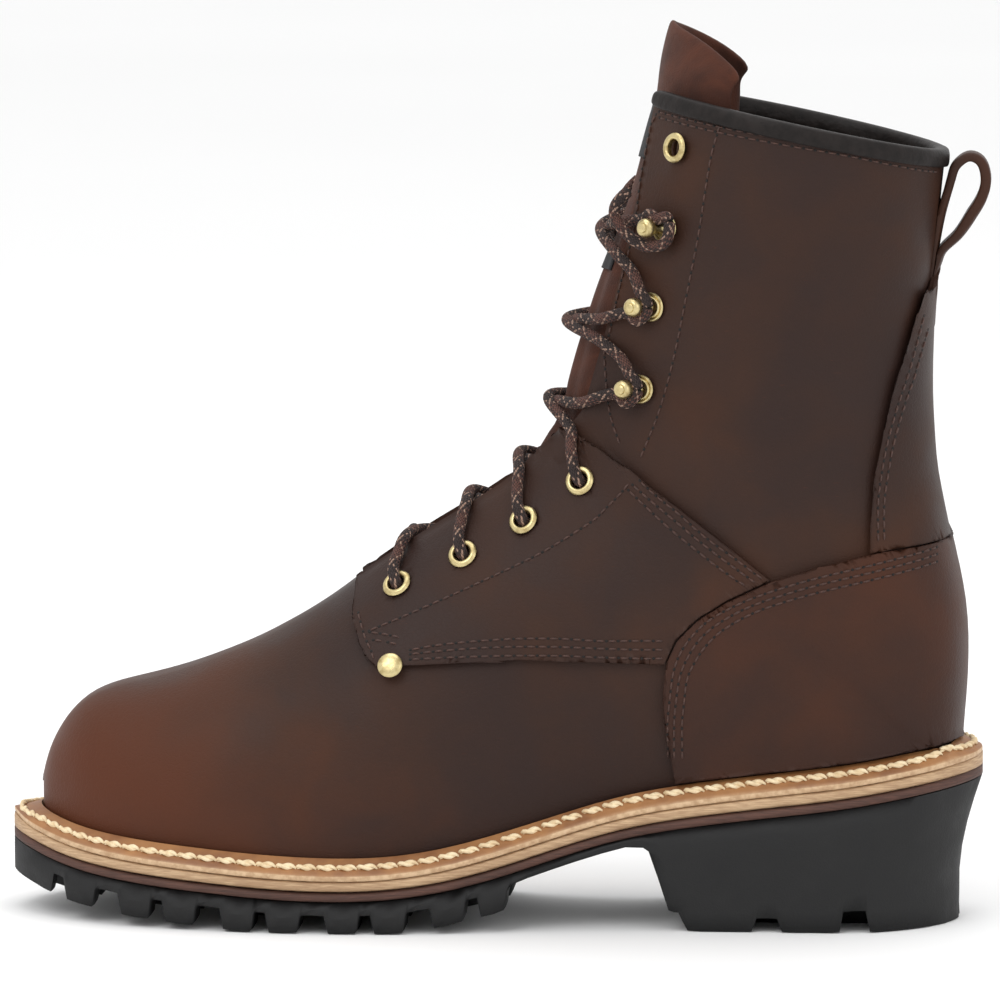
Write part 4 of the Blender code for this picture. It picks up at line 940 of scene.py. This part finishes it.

# Seams of the upper
# Brown bonded thread in short even stitches, sunk in the leather between needle holes, which are
# near-black capped discs: painted shade. Three rows hold the quarter and the counter, one or two
# the other edges.
SEAM_PITCH = 3.6             # in mm
STITCH_SHARE = 0.74
SEAM_STEP = 0.0006
SEAM_FROM = 0.12             # the rows are dropped on the leather from this far out
THREAD = 0.00075
STITCH_UP, HOLE_UP = 0.00012, 0.00006
HOLE_LONG, HOLE_WIDE, HOLE_DEPTH = 0.00052, 0.00045, 0.0004
SEAMS = (    # each row: along, up, along, up and so on, in mm
    (127.7, 89.8, 118.1, 91.6, 105.2, 93.1, 92.4, 94.1, 79.5, 94.4, 66.7, 93.9, 54, 94.1,
     46.1, 94.1),
    (127.7, 88.5, 118, 89.7, 105.2, 90.9, 92.3, 91.6, 79.5, 91.8, 66.7, 91.5, 54, 91.3, 46, 91.4),
    (127.6, 86.9, 118, 87.6, 105.1, 88.3, 92.3, 88.8, 79.5, 89.0, 66.7, 88.7, 54, 88.5, 46, 88.6),
    (54.7, 144.4, 49.8, 140.2, 41.7, 134.2, 33.6, 127.4, 24, 120.7, 14.8, 114.1),
    (57, 143, 50.7, 137.9, 43.3, 132.2, 35.2, 125.8, 25.6, 118.8, 17, 112.8),
    (58.4, 141.3, 52.9, 136.5, 45.5, 130.2, 37.4, 123.9, 28.2, 117, 20.2, 111.7),
    (141.5, 95, 127, 101.3, 109.7, 109.2, 92.7, 117.4, 83.4, 122.4, 70.3, 130.8, 65.5, 135.3,
     61, 139.9, 58, 143.6),
    (145.6, 100.2, 144.2, 96.6, 142.3, 92.3, 140.4, 89.1, 139.3, 85.9),
    (-39.6, 122.9, -22.8, 119.4, -2.7, 114.9, 10.5, 111.0, 21.9, 106.6, 31.4, 101.4, 37.0, 96.3,
     40.9, 90.8, 43.3, 84.3, 44.5, 75.3, 45.2, 67.8, 45.2, 55.4),
    (-39.7, 120.7, -22.8, 117.1, -2.7, 112.6, 10.5, 108.7, 21, 104.6, 29.9, 99.4, 35.1, 94.7,
     38.7, 89.2, 41.2, 83.1, 42.5, 74.7, 43.1, 67.5, 43.2, 55.4),
    (-39.7, 118.4, -22.8, 114.7, -2.7, 110.2, 10.5, 106.3, 19.7, 102.6, 27.9, 97.7, 33, 92.8,
     36.5, 87.6, 39, 81.8, 40, 73.7, 40.6, 67.2, 40.6, 55.4),
    (29.2, 258.3, 31.8, 249.1, 33.3, 240.9, 36.1, 222.8, 39.9, 203.4, 43.8, 184.1, 48.6, 166.6,
     54.8, 150.8),
    (50.6, 260, 54.2, 251.7, 55.9, 235.7, 57.4, 223.3, 61.9, 205, 65.7, 188, 66.7, 184.4,
     66.2, 175.3, 64.8, 164.7, 61.3, 154.8),
    (49.6, 260.9, 28.3, 257.1, 7.9, 253.7, -12.1, 250.1, -38.7, 243.7),
    (49.4, 259.1, 28.1, 255.3, 7.7, 251.9, -12.3, 248.3, -38.7, 241.9),
    (-35, 196.5, -30.7, 179.9, -27.1, 168.9, -24, 157.7, -22.2, 147.7, -21.1, 138.3, -21.2, 125.5),
    (-36.2, 191.7, -32.6, 178.8, -28.9, 167.8, -25.9, 157, -24.1, 146.9, -23, 137.6, -23.1, 125.7),
    (141.2, 94.6, 136.0, 94.2, 131.0, 93.4),
    (140.6, 92.4, 136.0, 92.0, 131.0, 91.2))
thread = begin("brown_thread")
place = object_place()
twist = spots(place, 2600, 2)
close(shade(ramp(twist, 0.3, 0.7), (0.026, 0.011, 0.008), (0.074, 0.029, 0.018)), 0.62, twist,
      0.0001)
# Painted shade: near-black for the needle holes, standing in for the shade inside each hole.
needle = begin("painted_hole_shade")
place = object_place()
close(shade(spots(place, 900), (0.004, 0.003, 0.002), (0.01, 0.006, 0.005)), 0.9)


def capsule(length, width, sink, rings=5, sides=6):
    """One short stitch: a rounded bar whose ends go down into the leather."""
    points = []
    for i in range(rings):
        t = i / (rings - 1) * 2 - 1
        size = width / 2 * math.sqrt(max(1 - (0.93 * t) ** 2, 0.05))
        for k in range(sides):
            angle = 2 * math.pi * k / sides
            points.append((t * length / 2, size * math.cos(angle),
                           size * math.sin(angle) - sink * t**4))
    return np.array(points), tube(rings, sides)


def strewn(name, spot_list, template, material):
    """Copies of a small shape, each at (place, along, out), in one mesh."""
    shape, shape_faces = template
    points, faces = [], []
    for at, along, out in spot_list:
        side = np.cross(out, along)
        base = len(points)
        points += list(at + shape[:, :1] * along + shape[:, 1:2] * side + shape[:, 2:] * out)
        faces += [tuple(base + i for i in face) for face in shape_faces]
    return link(name, points, faces, material)


def at_run(points, run, distance):
    """The point at a distance along a line."""
    return np.array([np.interp(distance, run, points[:, axis]) for axis in range(3)])


sewn_on = tree_of("upper_leather", "quarter_leather_outer", "quarter_leather_inner",
                  "counter_leather", "backstay_leather")
stitch_spots, hole_spots = [], []
for row in SEAMS:
    for side, _ in SIDES:
        line = []
        for point in through([(x * MM, 0, z * MM) for x, z in zip(row[::2], row[1::2])], SEAM_STEP):
            start = Vector((point[0], side * SEAM_FROM, point[2]))
            hit = sewn_on.ray_cast(start, Vector((0, -side, 0)), SEAM_FROM)
            if hit[0]:
                line.append((np.array(hit[0]), np.array(hit[1])))
        if len(line) < 4:
            continue
        points = np.array([point for point, _ in line])
        run = np.concatenate(([0], np.cumsum(np.linalg.norm(np.diff(points, axis=0), axis=1))))
        count = int(run[-1] / (SEAM_PITCH * MM))
        half = SEAM_PITCH * MM * 0.5
        for i in range(count):
            middle = (i + 0.5) / count * run[-1]
            along = (at_run(points, run, min(middle + half * 0.7, run[-1]))
                     - at_run(points, run, max(middle - half * 0.7, 0)))
            along /= np.linalg.norm(along)
            out = line[int(np.argmin(abs(run - middle)))][1]
            out = out - along * out.dot(along)
            out /= np.linalg.norm(out)
            stitch_spots.append((at_run(points, run, middle) + out * STITCH_UP, along, out))
            hole = at_run(points, run, max(middle - half, 0))
            hole_spots.append((hole + out * HOLE_UP, along, out))
stitch = capsule(SEAM_PITCH * MM * STITCH_SHARE, THREAD, 0.0003)
strewn("upper_stitches", stitch_spots, stitch, thread)
turns = np.arange(8) * math.pi / 4
rims = [(HOLE_LONG * math.cos(a), HOLE_WIDE * math.sin(a), level) for level in (0.0, -HOLE_DEPTH)
        for a in turns]
disc_sides = [(k, k + 8, (k + 1) % 8 + 8, (k + 1) % 8) for k in range(8)]
disc = np.array(rims), [tuple(range(8)), tuple(range(15, 7, -1))] + disc_sides
# Painted shade: a near-black capped disc sits on the leather at each needle hole.
strewn("needle_holes", hole_spots, disc, needle)
for name in ("upper_stitches", "needle_holes"):
    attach(bpy.data.objects[name], "root")

# Welt seam
# Thick cream thread of two plies twisted together. It is sewn through the welt and the midsole in
# long even stitches, all the way round.
WELT_PITCH = 0.0065
WELT_INSET = 0.0032
WELT_STEP = 0.0005
FOOT_MIDDLE = np.array((0.103, 0.0))
FOOT_NARROW = 0.35           # squeezes the outline, so that its points sort well by angle
cream = begin("cream_thread")
place = object_place()
soil = spots(place, 300, 4)
close(shade(ramp(soil, 0.35, 0.7), (0.82, 0.68, 0.45), (0.64, 0.47, 0.27)), 0.7,
      spots(place, 3000, 2), 0.0001)


def two_ply(length, strand, swing, rings=9, sides=6):
    """One long stitch of two strands wound round each other, whose ends go down."""
    points, faces = [], []
    for phase in (0.0, math.pi):
        base = len(points)
        for i in range(rings):
            t = i / (rings - 1) * 2 - 1
            turn_by = phase + t * math.pi * 0.8
            size = strand * (0.55 + 0.45 * math.sqrt(max(1 - t * t, 0.0)))
            for k in range(sides):
                angle = 2 * math.pi * k / sides
                points.append((t * length / 2, swing * math.cos(turn_by) + size * math.cos(angle),
                               swing * math.sin(turn_by) + size * math.sin(angle) - 0.0007 * t**6))
        faces += tube(rings, sides, base)
    return np.array(points), faces


welt_tree = tree_of("welt_strip")
rim_points = [vert.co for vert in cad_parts["midsole"].data.vertices]
edge = {}
for point in rim_points:
    flat = np.array((point.x, point.y)) - FOOT_MIDDLE
    edge[round(math.atan2(flat[1], flat[0] * FOOT_NARROW), 3)] = flat + FOOT_MIDDLE
loop = np.array([edge[key] for key in sorted(edge)])
ahead = np.roll(loop, -1, axis=0) - np.roll(loop, 1, axis=0)
inwards = np.stack([-ahead[:, 1], ahead[:, 0]], axis=1) / np.linalg.norm(ahead, axis=1)[:, None]
loop = loop + inwards * WELT_INSET
loop = np.vstack([loop, loop[:1]])
path = through([(a, b, 0.0) for a, b in loop], WELT_STEP)
count = int(round(len(path) * WELT_STEP / WELT_PITCH))
welt_spots = []
for i in range(count):
    index = int((i + 0.5) / count * (len(path) - 1))
    point = path[index]
    hit = welt_tree.ray_cast(Vector((point[0], point[1], 0.09)), Vector((0, 0, -1)), 0.1)
    if not hit[0]:
        continue
    along = path[min(index + 4, len(path) - 1)] - path[max(index - 4, 0)]
    out = np.array(hit[1])
    along = along / np.linalg.norm(along)
    along = along - out * along.dot(out)
    along /= np.linalg.norm(along)
    welt_spots.append((np.array(hit[0]) + out * 0.0002, along, out))
twisted = two_ply(WELT_PITCH * 1.04, 0.00078, 0.0005)
welt_stitches = strewn("welt_stitches", welt_spots, twisted, cream)
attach(welt_stitches, "root")

# Studio
# A plain pale floor in a white room, and three large soft lights above the boot: one ahead of it,
# one behind it and one over it.
floor_paint = begin("floor_paint")
place = object_place()
close(shade(spots(place, 0.6), (0.86, 0.86, 0.86), (0.9, 0.9, 0.9)), 0.9)
bpy.ops.object.select_all(action="DESELECT")
bpy.ops.mesh.primitive_plane_add(size=60)
floor = bpy.context.object
floor.name = "studio_floor"
floor.data.materials.append(floor_paint)
world = bpy.data.worlds.new("white_room")
bpy.context.scene.world = world
bpy.context.scene.view_settings.view_transform = "Standard"
world.use_nodes = True
sky = world.node_tree.nodes["Background"].inputs
sky["Color"].default_value = (1, 1, 1, 1)
sky["Strength"].default_value = 1.08
LIGHTS = (("key", (0.9, 1.5, 1.7), 1.2, 13), ("fill", (-1.4, 1.4, 0.9), 1.2, 4),
          ("top", (0.1, -0.2, 1.9), 1.4, 10))    # place, width and watts
LIT_SPOT = Vector((0.1, 0, 0.12))
for name, at, size, power in LIGHTS:
    lamp = bpy.data.lights.new(name, "AREA")
    lamp.energy = power
    lamp.size = size
    lamp_object = put(name, lamp)
    lamp_object.location = at
    lamp_object.rotation_euler = (LIT_SPOT - Vector(at)).to_track_quat("-Z", "Y").to_euler()
